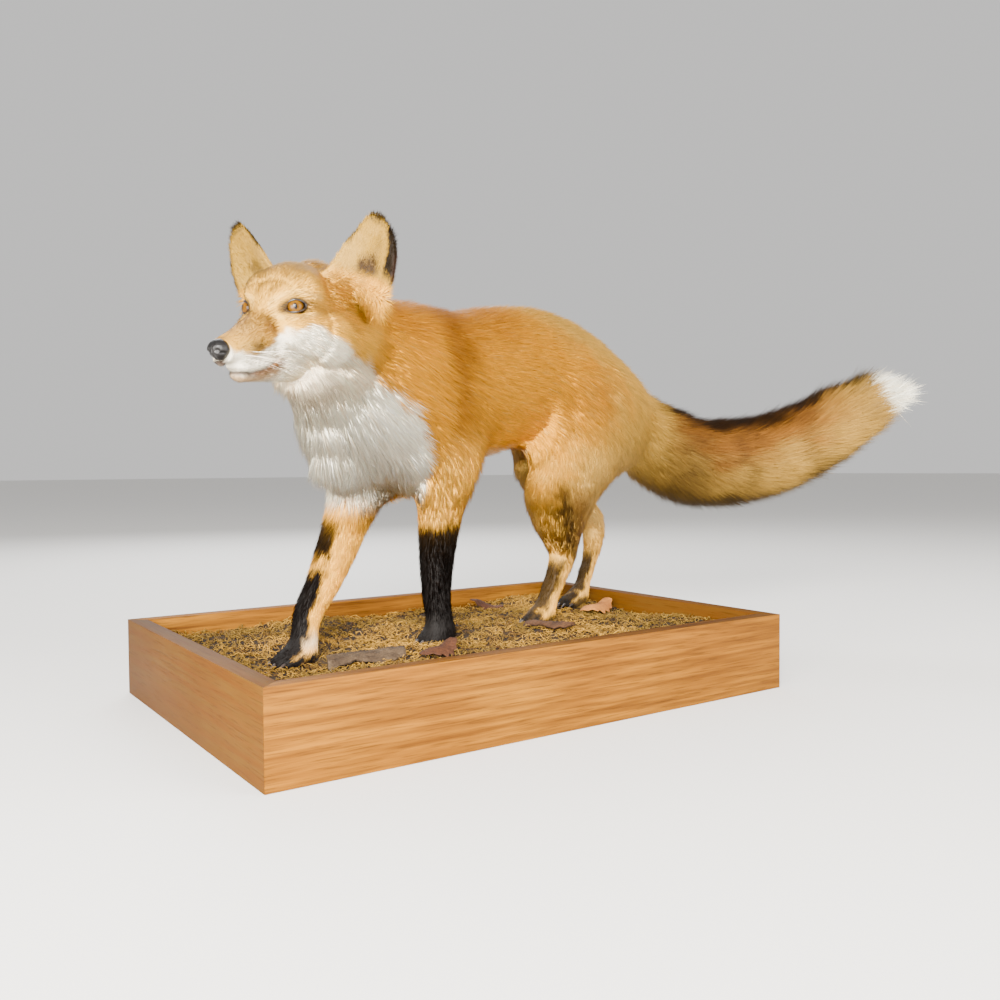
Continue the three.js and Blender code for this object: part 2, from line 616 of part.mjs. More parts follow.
function makeMoss() {
  const length = tray.length - 2 * (tray.board + moss.sideGap);
  const width = tray.width - 2 * (tray.board + moss.sideGap);
  const bottom = tray.deck + gap;
  const [columns, rows] = [length, width].map((side) => Math.round(side / moss.step));
  const bed = new THREE.BoxGeometry(length, width, 1, columns, rows, 1);
  const { position } = bed.attributes;
  for (let i = 0; i < position.count; i++) {
    const level = position.getZ(i) > 0 ? mossHeight(position.getX(i), position.getY(i)) : bottom;
    position.setZ(i, level);
  }
  const body = buried.reduce((rest, one) => rest.subtract(one), solidOf(bed));
  addBody("moss_bed", body, colours.moss, trayGroup);
}

makeTrunkAndNeck();
for (const [name, leg] of Object.entries(legs)) makeLeg(name, leg);
makeTail();
makeHead();
makeBoards();
makeLitter();
makeMoss();

const mountedFox = new THREE.Group();
mountedFox.add(trayGroup, foxGroup);

export default mountedFox;
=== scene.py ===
import math
import bmesh
import bpy
import numpy as np
from mathutils import Euler, Matrix, Vector


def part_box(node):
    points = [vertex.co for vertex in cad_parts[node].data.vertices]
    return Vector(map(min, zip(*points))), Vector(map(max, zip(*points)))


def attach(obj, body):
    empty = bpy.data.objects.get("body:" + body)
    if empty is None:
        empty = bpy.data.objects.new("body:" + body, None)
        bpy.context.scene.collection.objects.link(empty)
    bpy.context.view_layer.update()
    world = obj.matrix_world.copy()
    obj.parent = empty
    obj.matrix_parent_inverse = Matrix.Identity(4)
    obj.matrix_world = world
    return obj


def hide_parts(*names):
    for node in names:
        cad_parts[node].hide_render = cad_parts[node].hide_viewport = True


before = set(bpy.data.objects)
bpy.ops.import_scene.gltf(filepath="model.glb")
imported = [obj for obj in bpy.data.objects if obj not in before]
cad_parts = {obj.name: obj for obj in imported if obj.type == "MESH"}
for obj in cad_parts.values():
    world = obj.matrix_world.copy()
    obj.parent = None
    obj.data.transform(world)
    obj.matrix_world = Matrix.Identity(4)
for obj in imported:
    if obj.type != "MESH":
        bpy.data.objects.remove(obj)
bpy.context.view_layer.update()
dice = np.random.default_rng(11)
bpy.ops.object.select_all(action="DESELECT")


# Places. Tables below are in millimetres: "fox" runs +x to the tail and +y to the right side,
# "head" has its origin between the eyes, +x along the muzzle and +y to the left.
stance = {"x": -0.129, "y": -0.015, "turn": 12.0}
headPose = {"x": -0.153, "y": -0.055, "z": 0.421, "heading": 200.0, "pitch": 7.1, "roll": -3.0}

foxPlace = Matrix.Translation((stance["x"], stance["y"], 0)) @ Matrix.Rotation(math.radians(stance["turn"]),
                                                                               4, "Z")
headPlace = (
    foxPlace
    @ Matrix.Translation((headPose["x"], headPose["y"], headPose["z"]))
    @ Matrix.Rotation(math.radians(headPose["heading"]), 4, "Z")
    @ Matrix.Rotation(math.radians(headPose["pitch"]), 4, "Y")
    @ Matrix.Rotation(math.radians(headPose["roll"]), 4, "X")
)
mm = 0.001


def toLocal(points, place):
    m = np.array(place)
    return (points - m[:3, 3]) @ m[:3, :3] / mm


def toWorld(points, place):
    m = np.array(place)
    return np.asarray(points, float) * mm @ m[:3, :3].T + m[:3, 3]


def turnWorld(vectors, place):
    return np.asarray(vectors, float) @ np.array(place)[:3, :3].T


def unit(v):
    return v / np.maximum(np.linalg.norm(v, axis=-1, keepdims=True), 1e-9)


def ramp(x, low, high):
    t = np.clip((x - low) / (high - low), 0, 1)
    return t * t * (3 - 2 * t)


def bell(x, middle, width):
    return np.exp(-(((x - middle) / width) ** 2))


def wobble(points, size, seed=0):
    # Smooth noise from -1 to 1.
    waves = np.random.default_rng(seed)
    total = np.zeros(len(points))
    for octave in range(3):
        for _ in range(4):
            way = unit(waves.normal(size=3))
            total += np.sin(points @ way * (2 * np.pi * 1.9**octave / size)
                            + waves.uniform(0, 6.28)) / 1.7**octave
    return total / 4.2


# The body as tapering limbs, in the order that the coat flows. A ball is x, y, z and its radius to the
# tips of the coat. "depth" is the coat's depth and "hair" the length of a lock, at the limb's two ends.
# "sweep" bends the flow, and "group" is the part of the body.
foreLeft = [(92, -42, 275, 38), (86, -37, 232, 30), (83, -34, 195, 26), (82, -31, 150, 22),
            (84, -29, 112, 18.5), (92, -28, 84, 17)]
foreRight = [(38, 42, 270, 42), (14, 39, 222, 30), (-10, 36, 176, 26), (-32, 34, 138, 22),
             (-53, 31, 110, 19), (-66, 22, 80, 17)]
hindLeft = [(293, -41, 226, 42), (296, -39, 190, 30), (306, -36, 155, 22), (297, -35, 132, 19),
            (281, -34, 105, 16.5), (270, -33, 84, 15.5)]
hindRight = [(396, 41, 232, 38), (430, 39, 208, 29), (466, 38, 188, 22), (470, 37, 168, 19),
             (456, 36, 130, 16.5), (438, 34, 98, 15.5), (426, 34, 82, 15)]
brush = [(455, -6, 346, 58), (484, -9, 331, 60), (516, -16, 315, 64), (579, -44, 282, 71),
         (626, -76, 276, 72), (666, -113, 281, 70),
         (698, -155, 296, 67), (724, -199, 322, 63), (745, -236, 347, 57), (760, -262, 363, 46),
         (772, -282, 371, 28)]
feet = {"foreLeft": (98, -28, 61, 27), "foreRight": (-66, 18, 54, 30), "hindLeft": (272, -33, 63, 26),
        "hindRight": (428, 34, 62, 27)}


def footLine(x, y, sole, reach):
    return [(x + 2, y, sole + 19, 15), (x - reach * 0.5, y, sole + 15, 13),
            (x - reach - 14, y, sole + 8, 8)]


limbs = [
    {"group": "neck", "balls": [(-88, -32, 414, 51), (-36, -20, 399, 60), (18, -8, 388, 69),
                                (62, 0, 381, 75)],
     "depth": (7, 10), "hair": (24, 34), "sweep": (0, 0, -0.5)},
    {"group": "neck", "balls": [(-88, -34, 372, 38), (-52, -18, 350, 46), (-10, -10, 342, 54)],
     "depth": (8, 13), "hair": (28, 42), "sweep": (0.1, 0, -1.0)},
    {"group": "trunk", "balls": [(10, 0, 362, 84), (70, 0, 361, 93), (130, 0, 364, 95), (200, 0, 378, 94),
                                 (270, 0, 389, 92),
                                 (340, 0, 375, 94), (392, 0, 352, 89)],
     "depth": (9.5, 9), "hair": (32, 30), "sweep": (0, 0, -0.32)},
    {"group": "neck", "balls": [(-26, -5, 330, 55), (-32, -5, 300, 45), (0, 0, 268, 48)],
     "depth": (13, 11), "hair": (40, 34), "sweep": (0, 0, -1.0)},
    {"group": "tail", "balls": brush, "depth": (12, 27), "hair": (30, 56), "sweep": (0, 0, -0.1)},
    {"group": "foreLeft", "balls": foreLeft, "depth": (5.5, 2.4), "hair": (20, 9), "sweep": (0.1, 0, 0)},
    {"group": "foreRight", "balls": foreRight, "depth": (5.5, 2.4), "hair": (20, 9), "sweep": (0.1, 0, 0)},
    {"group": "hindLeft", "balls": [(387, -44, 332, 68), (328, -48, 292, 67), (293, -46, 252, 58)],
     "depth": (8.5, 6), "hair": (28, 21), "sweep": (0.55, 0, -0.75)},
    {"group": "hindLeft", "balls": hindLeft, "depth": (5.5, 2.4), "hair": (18, 9), "sweep": (0.12, 0, 0)},
    {"group": "hindRight", "balls": [(394, 44, 332, 68), (368, 48, 285, 58), (388, 42, 240, 43)],
     "depth": (8.5, 6), "hair": (28, 21), "sweep": (0.3, 0, -0.7)},
    {"group": "hindRight", "balls": hindRight, "depth": (5.5, 2.4), "hair": (18, 9), "sweep": (0.12, 0, 0)},
]
for side in (-1, 1):
    limbs.append({"group": "trunk", "balls": [(40, 42 * side, 385, 42), (72, 40 * side, 325, 50),
                                              (84, 38 * side, 275, 42)],
                  "depth": (9, 7), "hair": (31, 25), "sweep": (0.7, 0, -0.5)})
    limbs.append({"group": "trunk", "balls": [(330, 34 * side, 368, 66), (388, 36 * side, 348, 68),
                                              (426, 32 * side, 326, 57)],
                  "depth": (9, 9), "hair": (30, 30), "sweep": (0, 0, -0.5)})
for name, foot in feet.items():
    limbs.append({"group": name, "balls": footLine(*foot), "depth": (3, 1.6), "hair": (9, 6),
                  "sweep": (0, 0, 0)})

# The head, with its cheeks and brows mirrored
headLimbs = [
    {"balls": [(-16, 0, 0, 30), (-38, 0, 3, 43), (-66, 0, -3, 47)], "depth": (2.2, 4), "hair": (8, 12),
     "sweep": (0, 0, 0)},
    {"balls": [(73, 0, -39, 12.5), (48, 0, -34.5, 17), (22, 0, -26, 20.5), (-8, 0, -14, 26)],
     "depth": (1.0, 2.0), "hair": (4, 8),
     "sweep": (0, 0, 0.1)},
    {"balls": [(48, 0, -57, 12), (14, 0, -53, 18), (-26, 0, -48, 26)], "depth": (1.2, 5), "hair": (5, 20),
     "sweep": (0, 0, -0.2)},
]
for side in (1, -1):
    headLimbs.append({"balls": [(-3, 20 * side, 11, 9.5), (-21, 24 * side, 15, 19)], "depth": (1.8, 2.6),
                      "hair": (7, 9),
                      "sweep": (0, 0, 0)})
for side in (1, -1):
    headLimbs.append({"balls": [(-8, 24 * side, -22, 20), (-38, 36 * side, -28, 29),
                                (-66, 45 * side, -36, 27)],
                      "depth": (2.2, 8), "hair": (9, 25), "sweep": (0, 0.25 * side, -0.45)})
headToFox = foxPlace.inverted() @ headPlace
for limb in headLimbs:
    centres = toLocal(toWorld([b[:3] for b in limb["balls"]], headPlace), foxPlace)
    limb["balls"] = [(*c, b[3]) for c, b in zip(centres, limb["balls"])]
    limb["sweep"] = tuple(headToFox.to_3x3() @ Vector(limb["sweep"]))
    limb["group"] = "head"
limbs += headLimbs


def nearLimb(p, limb):
    # For each point: its gap to the limb's surface, the nearest centre, the flow, and the share
    # along the limb.
    balls = np.array(limb["balls"], float)
    centre, radius = balls[:, :3], balls[:, 3]
    ways = unit(np.gradient(centre, axis=0)) + np.array(limb["sweep"])
    a, ab = centre[:-1], np.diff(centre, axis=0)
    t = np.clip(((p[:, None] - a) * ab).sum(2) / (ab**2).sum(1), 0, 1)
    c = a + t[..., None] * ab
    gap = np.linalg.norm(p[:, None] - c, axis=2) - (radius[:-1] + np.diff(radius) * t)
    k = gap.argmin(1)
    row = np.arange(len(p))
    t = t[row, k]
    flow = unit(ways[k] * (1 - t)[:, None] + ways[k + 1] * t[:, None])
    return gap[row, k], c[row, k], flow, (k + t) / len(ab)


groups = ["head", "neck", "trunk", "tail", "foreLeft", "foreRight", "hindLeft", "hindRight"]


def readBody(p, softness=9.0):
    # Blends all limbs at points in the fox's frame: what the skin and the coat need to know there.
    total = np.zeros(len(p))
    out = {"flow": np.zeros((len(p), 3)), "inward": np.zeros((len(p), 3)), "depth": np.zeros(len(p)),
           "hair": np.zeros(len(p)),
           "along": np.zeros(len(p)), "share": {g: np.zeros(len(p)) for g in groups}}
    for limb in limbs:
        gap, centre, flow, along = nearLimb(p, limb)
        w = np.exp(-np.maximum(gap, 0) / softness) + 1e-12
        total += w
        depth = limb["depth"][0] + (limb["depth"][1] - limb["depth"][0]) * along
        out["flow"] += flow * w[:, None]
        out["inward"] += unit(centre - p) * (w * depth)[:, None]
        out["depth"] += depth * w
        out["hair"] += (limb["hair"][0] + (limb["hair"][1] - limb["hair"][0]) * along) * w
        out["share"][limb["group"]] += w
        if limb["group"] == "tail":
            out["along"] = along
    for key in ("flow", "inward"):
        out[key] /= total[:, None]
    for key in ("depth", "hair"):
        out[key] /= total
    out["share"] = {g: s / total for g, s in out["share"].items()}
    return out


# Ears: in an ear's own frame +x is the way it faces, +z its tip and +y its outer side on the left ear.
earShape = {"x": -74, "y": 50, "z": 28.5, "tilt": 0.07, "splay": 0.43, "turn": 31, "height": 86.5,
            "rooted": 16,
            "innerWidth": 36, "innerTaper": 0.76, "outerWidth": 44, "outerTaper": 0.57, "outerSwell": 0.76,
            "innerBend": 57, "outerBend": 41, "nod": 8, "hair": 7.5}


def earPlace(side):
    up = Vector((earShape["tilt"], side * earShape["splay"], 1)).normalized()
    turn = math.radians(earShape["turn"])
    facing = Vector((math.cos(turn), side * math.sin(turn), 0))
    across = up.cross(facing).normalized()
    facing = across.cross(up)
    local = Matrix((facing, across, up)).transposed().to_4x4()
    local.translation = Vector((earShape["x"], side * earShape["y"], earShape["z"])) * mm
    return headPlace @ local


def readEars(world):
    # How much a point belongs to an ear, its place on the curled sheet, and its height over the
    # sheet's inner side.
    found = {"share": np.zeros(len(world)), "up": np.zeros(len(world)), "across": np.zeros(len(world)),
             "front": np.zeros(len(world)), "flow": np.zeros((len(world), 3)), "near": np.zeros(len(world))}
    for side in (1, -1):
        place = earPlace(side)
        e = toLocal(world, place)
        u = np.clip((e[:, 2] + earShape["rooted"]) / earShape["height"], 0, 1)
        inner = earShape["innerWidth"] * (1 - u) ** earShape["innerTaper"]
        outer = earShape["outerWidth"] * (1 - u) ** earShape["outerTaper"] * (1 + earShape["outerSwell"]
                                                                              * u)
        x, y = e[:, 0] - earShape["nod"] * u**2, e[:, 1] * side
        bend = np.where(y < 0, earShape["innerBend"], earShape["outerBend"])
        across = bend * np.arctan2(y, bend - x)
        off = bend - np.hypot(y, bend - x)
        inside = (np.abs(off) < 8) & (across < outer + 6) & (across > -inner - 6) & (e[:, 2] < 77)
        share = np.where(inside, ramp(e[:, 2], 0, 12), 0)
        use = share > found["share"]
        found["share"] = np.where(use, share, found["share"])
        found["up"] = np.where(use, u, found["up"])
        found["across"] = np.where(use, (across + inner) / (inner + outer), found["across"])
        found["front"] = np.where(use, off, found["front"])
        fan = np.stack([0 * u, side * 0.45 * np.clip(across / outer, -1, 1), 1 + 0 * u], 1)
        beside = 1 - ramp(np.maximum(np.maximum(across - outer, -inner - across), np.abs(off) - 6), 4, 24)
        near = beside * ramp(e[:, 2], -14, 6) * (np.abs(e[:, 2]) < 80)
        toward = near > found["near"]
        found["flow"][toward] = turnWorld(fan[toward], place)
        found["near"] = np.maximum(found["near"], near)
    return found


# Skin. The flesh nodes become one body, which then sinks by the depth of the coat.
skinShape = {"voxel": 0.0035, "grow": 0.0007, "firstSmooth": 10, "lastSmooth": 6, "earSink": 1.0}
fleshNodes = ["head", "neck", "trunk", "ear_left", "ear_right", "tail_root", "tail_middle", "tail_tip"]
fleshNodes += [f"{part}_{leg}" for part in ("leg", "paw")
               for leg in ("front_left", "front_right", "hind_left", "hind_right")]


def activate(obj):
    bpy.ops.object.select_all(action="DESELECT")
    obj.select_set(True)
    bpy.context.view_layer.objects.active = obj


def readPoints(mesh):
    co = np.zeros(len(mesh.vertices) * 3, np.float32)
    mesh.vertices.foreach_get("co", co)
    return co.reshape(-1, 3).astype(float)


def readNormals(mesh):
    n = np.zeros(len(mesh.vertices) * 3, np.float32)
    mesh.vertices.foreach_get("normal", n)
    return n.reshape(-1, 3).astype(float)


def writePoints(mesh, co):
    mesh.vertices.foreach_set("co", np.asarray(co, np.float32).ravel())
    mesh.update()


def readEdges(mesh):
    edges = np.zeros(len(mesh.edges) * 2, np.int32)
    mesh.edges.foreach_get("vertices", edges)
    return edges.reshape(-1, 2)


def smoothed(co, edges, times, strength):
    # Moves points towards the mean of their neighbours; strength may differ from point to point.
    a, b = edges[:, 0], edges[:, 1]
    count = np.bincount(a, minlength=len(co)) + np.bincount(b, minlength=len(co))
    strength = np.broadcast_to(strength, len(co))[:, None]
    for _ in range(times):
        total = np.stack([np.bincount(a, co[b, i], len(co)) + np.bincount(b, co[a, i], len(co))
                          for i in range(3)], 1)
        co = co + (total / np.maximum(count, 1)[:, None] - co) * strength
    return co


def joinFlesh():
    copies = []
    for node in fleshNodes:
        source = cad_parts[node]
        copy = bpy.data.objects.new("flesh", source.data.copy())
        bpy.context.scene.collection.objects.link(copy)
        work = bmesh.new()
        work.from_mesh(copy.data)
        bmesh.ops.remove_doubles(work, verts=work.verts, dist=1e-5)
        bmesh.ops.recalc_face_normals(work, faces=work.faces)
        work.to_mesh(copy.data)
        work.free()
        writePoints(copy.data, readPoints(copy.data) + readNormals(copy.data) * skinShape["grow"])
        copies.append(copy)
    bpy.ops.object.select_all(action="DESELECT")
    for copy in copies:
        copy.select_set(True)
    bpy.context.view_layer.objects.active = copies[0]
    bpy.ops.object.join()
    skin = copies[0]
    skin.name = skin.data.name = "skin"
    remesh = skin.modifiers.new("remesh", "REMESH")
    remesh.mode = "VOXEL"
    remesh.voxel_size = skinShape["voxel"]
    activate(skin)
    bpy.ops.object.modifier_apply(modifier=remesh.name)
    keepLargest(skin.data)
    return skin


def keepLargest(mesh):
    # Drops loose bubbles that the remesh leaves in the gaps between nodes.
    edges = readEdges(mesh)
    label = np.arange(len(mesh.vertices))
    for _ in range(4000):
        low = np.minimum(label[edges[:, 0]], label[edges[:, 1]])
        before = label.copy()
        np.minimum.at(label, edges[:, 0], low)
        np.minimum.at(label, edges[:, 1], low)
        label = label[label]
        if (label == before).all():
            break
    keep = np.bincount(label).argmax()
    work = bmesh.new()
    work.from_mesh(mesh)
    work.verts.ensure_lookup_table()
    loose = [work.verts[i] for i in np.flatnonzero(label != keep)]
    bmesh.ops.delete(work, geom=loose, context="VERTS")
    work.to_mesh(mesh)
    work.free()


def sinkSkin(skin):
    mesh = skin.data
    edges = readEdges(mesh)
    co = readPoints(mesh)
    ears = readEars(co)
    co = smoothed(co, edges, skinShape["firstSmooth"], 0.5 * (1 - 0.8 * ears["share"]))
    writePoints(mesh, co)
    normals = readNormals(mesh)
    ears = readEars(co)
    body = readBody(toLocal(co, foxPlace))
    inward = turnWorld(body["inward"], foxPlace) * (1 - ears["share"])[:, None]
    co = co + (inward - normals * (ears["share"] * skinShape["earSink"])[:, None]) * mm
    co = smoothed(co, edges, skinShape["lastSmooth"], 0.5 * (1 - 0.9 * ears["share"]))
    writePoints(mesh, co)


# Face. Sizes are in the head's frame, for the left side.
eyeShape = {"x": -6.6, "y": 24.6, "z": 0.0, "radius": 9.6, "azimuth": 37.0, "elevation": 7.0,
            "halfWidth": 9.6, "halfHeight": 6.0, "slant": -8.0}


def eyePlace(side):
    # The eye's own frame: +x looks out, +y is the fox's left, +z up along the lids' slant.
    turn = Euler((0, 0, math.radians(side * eyeShape["azimuth"]))).to_matrix().to_4x4()
    lift = Euler((0, math.radians(-eyeShape["elevation"]), 0)).to_matrix().to_4x4()
    slant = Euler((math.radians(-side * eyeShape["slant"]), 0, 0)).to_matrix().to_4x4()
    centre = Matrix.Translation(Vector((eyeShape["x"], side * eyeShape["y"], eyeShape["z"])) * mm)
    return headPlace @ centre @ turn @ lift @ slant


def lidOpening(y, z, side):
    # 1 on the almond edge of the lids, less inside. Its inner corner is drawn out towards the nose.
    inner = np.maximum(-y * side, 0) / (eyeShape["halfWidth"] * 1.10)
    outer = np.maximum(y * side, 0) / eyeShape["halfWidth"]
    height = np.where(z > 0, eyeShape["halfHeight"], eyeShape["halfHeight"] * 0.86)
    return np.sqrt((inner + outer) ** 1.7 + np.abs(z / height) ** 1.9)


fineFace = {"from": -36, "beside": 60, "above": 90}


def refineFace(skin):
    work = bmesh.new()
    work.from_mesh(skin.data)
    work.verts.ensure_lookup_table()
    local = toLocal(np.array([v.co for v in work.verts]), headPlace)
    near = (local[:, 0] > fineFace["from"]) & (np.abs(local[:, 1]) < fineFace["beside"])
    near &= np.abs(local[:, 2]) < fineFace["above"]
    edges = [e for e in work.edges if near[e.verts[0].index] and near[e.verts[1].index]]
    bmesh.ops.subdivide_edges(work, edges=edges, cuts=1, use_grid_fill=True)
    work.to_mesh(skin.data)
    work.free()


def headField(p, blend=10.0):
    # The head's smooth shape in the fox's frame: below zero inside. Neighbours melt together over
    # the blend.
    total = np.full(len(p), 1e3)
    for limb in headLimbs:
        gap = nearLimb(p, limb)[0]
        near = np.maximum(blend - np.abs(total - gap), 0) / blend
        total = np.minimum(total, gap) - near**2 * blend / 4
    return total


def shapeFace(skin):
    mesh = skin.data
    edges = readEdges(mesh)
    co = readPoints(mesh)
    for side in (1, -1):
        place = eyePlace(side)
        e = toLocal(co, place)
        away = np.linalg.norm(e, axis=1)
        opening = lidOpening(e[:, 1], e[:, 2], side)
        front = e[:, 0] > 0
        # Skin near the eye lies over the ball as lids, and sinks behind it inside the opening.
        lid = eyeShape["radius"] + 1.0 + 1.2 * ramp(opening, 1.0, 1.7)
        reach = 1 - ramp(np.hypot(e[:, 1], e[:, 2]), 9.0, 17.0)
        target = np.where(opening < 1.0, eyeShape["radius"] * 0.72, np.maximum(lid, 0))
        moved = e / np.maximum(away, 1e-6)[:, None] * target[:, None]
        use = front & (away < 24)
        share = np.where(use, reach, 0)[:, None]
        e = e * (1 - share) + moved * share
        co = np.where(use[:, None], toWorld(e, place), co)
    h = toLocal(co, headPlace)
    y = np.abs(h[:, 1])
    push = np.zeros(len(co))
    push += 1.6 * bell(h[:, 0], -4, 11) * bell(y, 19, 8) * ramp(h[:, 2], 6, 14)            # brow
    push -= 2.4 * bell(h[:, 0], 14, 9) * bell(y, 18, 8) * bell(h[:, 2], -5,
                                                               10)             # hollow before the eye
    push += 1.2 * bell(h[:, 0], 52, 14) * ramp(y, 6, 11) * bell(h[:, 2], -46, 8)            # whisker pad
    lip = mouthHeight(h[:, 0])
    onMouth = ramp(h[:, 0], 12, 20) * (1 - ramp(h[:, 0], 72, 78))
    push -= 2.2 * bell(h[:, 2], lip, 2.0) * onMouth                                          # lip line
    push += 0.9 * bell(h[:, 2], lip + 4.5, 3.0) * onMouth
    push -= 1.0 * bell(h[:, 1], 0, 2.4) * ramp(h[:, 0], 60,
                                               72) * (h[:, 2] > -60)            # groove under the nose
    co = co + readNormals(mesh) * push[:, None] * mm
    calm = 0.35 * (1 - bell(y, 25, 14) * bell(h[:, 0], 0, 16) * bell(h[:, 2], 0, 14))
    writePoints(mesh, smoothed(co, edges, 2, calm * (h[:, 0] > -40)))


def mouthHeight(x):
    # The lip line's height along the muzzle, up to its corner.
    return np.interp(x, [8, 15, 30, 45, 60, 72, 78], [-47, -50.0, -56.5, -59.0, -57.5, -52.0, -47])


# Markings. One colour rule serves the skin and the coat.
def srgb(r, g, b):
    c = np.array([r, g, b]) / 255
    return np.where(c <= 0.04045, c / 12.92, ((c + 0.055) / 1.055) ** 2.4)


furTones = {
    "orange": srgb(212, 143, 13), "deepOrange": srgb(170, 101, 13), "rust": srgb(115, 60, 10),
    "buff": srgb(203, 158, 66),
    "grizzle": srgb(170, 132, 60), "cream": srgb(223, 182, 105), "white": srgb(252, 242, 218),
    "greyWhite": srgb(229, 218, 196),
    # The slate grey is used only as painted shade: on the throat under the head, in the crease across the
    # chest and under the jaw.
    "slateShade": srgb(158, 149, 134), "black": srgb(10, 5, 3), "brownBlack": srgb(41, 24, 16),
    "legTan": srgb(241, 177, 60),
    "brown": srgb(118, 74, 30), "tailGold": srgb(155, 119, 50), "tailRust": srgb(115, 68, 22),
    "headTan": srgb(215, 159, 48),
    "forehead": srgb(188, 143, 69), "muzzleTan": srgb(162, 115, 47), "streak": srgb(69, 33, 10),
    "earCream": srgb(149, 113, 31),
    # The ear hollow tone is painted shade for the recess of the ear cup.
    "earHollowShade": srgb(44, 29, 16), "lip": srgb(22, 16, 13),
}


class CoatPainter:
    # Points on the body with what the colour rule reads there. paint lays a tone over the colour so far.
    def __init__(self, world, normals):
        self.world = world
        self.p, self.h = toLocal(world, foxPlace), toLocal(world, headPlace)
        self.n = normals @ np.array(foxPlace)[:3, :3]
        self.body, self.ears = readBody(self.p), readEars(world)
        self.share = self.body["share"]
        self.rough, self.fine = wobble(self.p, 42, 1), wobble(self.p, 13, 2)
        self.streaks = wobble(self.p * [0.35, 1, 1], 16, 3)
        self.colour = np.tile(furTones["orange"], (len(world), 1))

    def paint(self, mask, tone, strength=1.0):
        m = (np.clip(mask, 0, 1) * strength)[:, None]
        self.colour = self.colour * (1 - m) + furTones[tone] * m


def buffLine(z):
    # How far back the orange reaches at a height, before it turns to buff.
    return np.interp(z, [240, 290, 330, 370, 400, 425, 460], [228, 262, 318, 348, 340, 288, 216])


def bibMask(c):
    # The white of throat and chest, above an edge that falls from the cheek to the foreleg.
    x, _, z = c.p.T
    edge = np.interp(x, [-190, -151, -125, -100, -79, -41, -21, -5, 5, 13, 28, 48, 54, 60],
                     [382, 395, 403, 391, 382, 364, 358, 350, 340, 325, 300, 266, 240, 200])
    return ramp(edge - z + 9 * c.fine + 6 * c.rough, -5, 9) * (1 - ramp(x, 50, 64)) * ramp(z, 226, 250)


def markTrunk(c):
    paint, rough, fine = c.paint, c.rough, c.fine
    x, _, z = c.p.T
    paint(ramp(z + 12 * rough, 385, 450) * (1 - ramp(x, 150, 230)), "deepOrange", 0.55)
    paint(bell(x + 18 * rough - 0.12 * (z - 380), 66, 26) * ramp(z, 270, 330), "rust", 0.62)
    paint(bell(x, 322, 46) * bell(z + 10 * rough, 366, 34), "deepOrange", 0.5)
    paint(ramp(x + 26 * rough + 12 * fine - buffLine(z), -65, 75), "buff", 0.9)
    paint(ramp(x + 20 * fine, 330, 430) * ramp(c.streaks, 0.0, 0.5), "grizzle", 0.55)
    paint(ramp(335 - z + 10 * fine, 0, 75) * bell(x, 70, 60), "legTan", 0.75)
    under = ramp(-c.n[:, 2], 0.6, 0.95) * ramp(x, 60, 120) * (1 - ramp(x, 380, 430))
    paint(under * ramp(305 + 10 * rough - z, 0, 25), "greyWhite", 0.7)


def markBib(c):
    paint, share, rough, fine = c.paint, c.share, c.rough, c.fine
    x, y, z = c.p.T
    bib = bibMask(c)
    front = share["neck"] + share["trunk"] + share["foreLeft"] + share["foreRight"] + share["head"]
    paint(bib * front, "white")
    # Painted shade: a slate band for the crease across the chest.
    paint(bib * front * bell(z + 7 * rough, 305, 11) * (x < 10), "slateShade", 0.3)
    paint(bib * front * ramp(fine + 0.5 * rough, 0.1, 0.7) * (z < 345), "greyWhite", 0.45)
    # Painted shade on the throat under the head.
    paint(front * bib * bell(x, -118, 26) * bell(z, 352, 22) * (np.abs(y + 40) < 45), "slateShade", 0.35)


def markForelegs(c):
    paint, share, rough, fine, n = c.paint, c.share, c.rough, c.fine, c.n
    z = c.p[:, 2]
    paint(share["foreLeft"] + share["foreRight"] - bibMask(c), "legTan", 0.8)
    hem = 209 + 7 * fine + 5 * rough
    paint(share["foreLeft"] * ramp(hem - z, -5, 6), "black")
    around = -0.8 * n[:, 0] + 0.6 * n[:, 1] + 0.25 * fine
    stripe = ramp(around + 0.45 * ramp(188 - z, 0, 50), 0.0, 0.3) * ramp(228 - z, 0, 14)
    stripe = stripe * (1 - 0.9 * bell(z + 8 * fine, 168, 7))
    paint(share["foreRight"] * stripe, "black")
    paint(share["foreRight"] * bell(z, 158, 9) * bell(n[:, 0], 0.8, 0.5), "brown", 0.7)
    paint(share["foreRight"] * ramp(100 + 9 * rough - z, -6, 8) * ramp(around, -0.7, -0.2), "black")
    paint(share["foreRight"] * ramp(72 + 6 * fine - z, -4, 6), "black")
    paint(share["foreRight"] * bell(z, 84, 8) * ramp(-around, 0.2, 0.7), "greyWhite", 0.6)


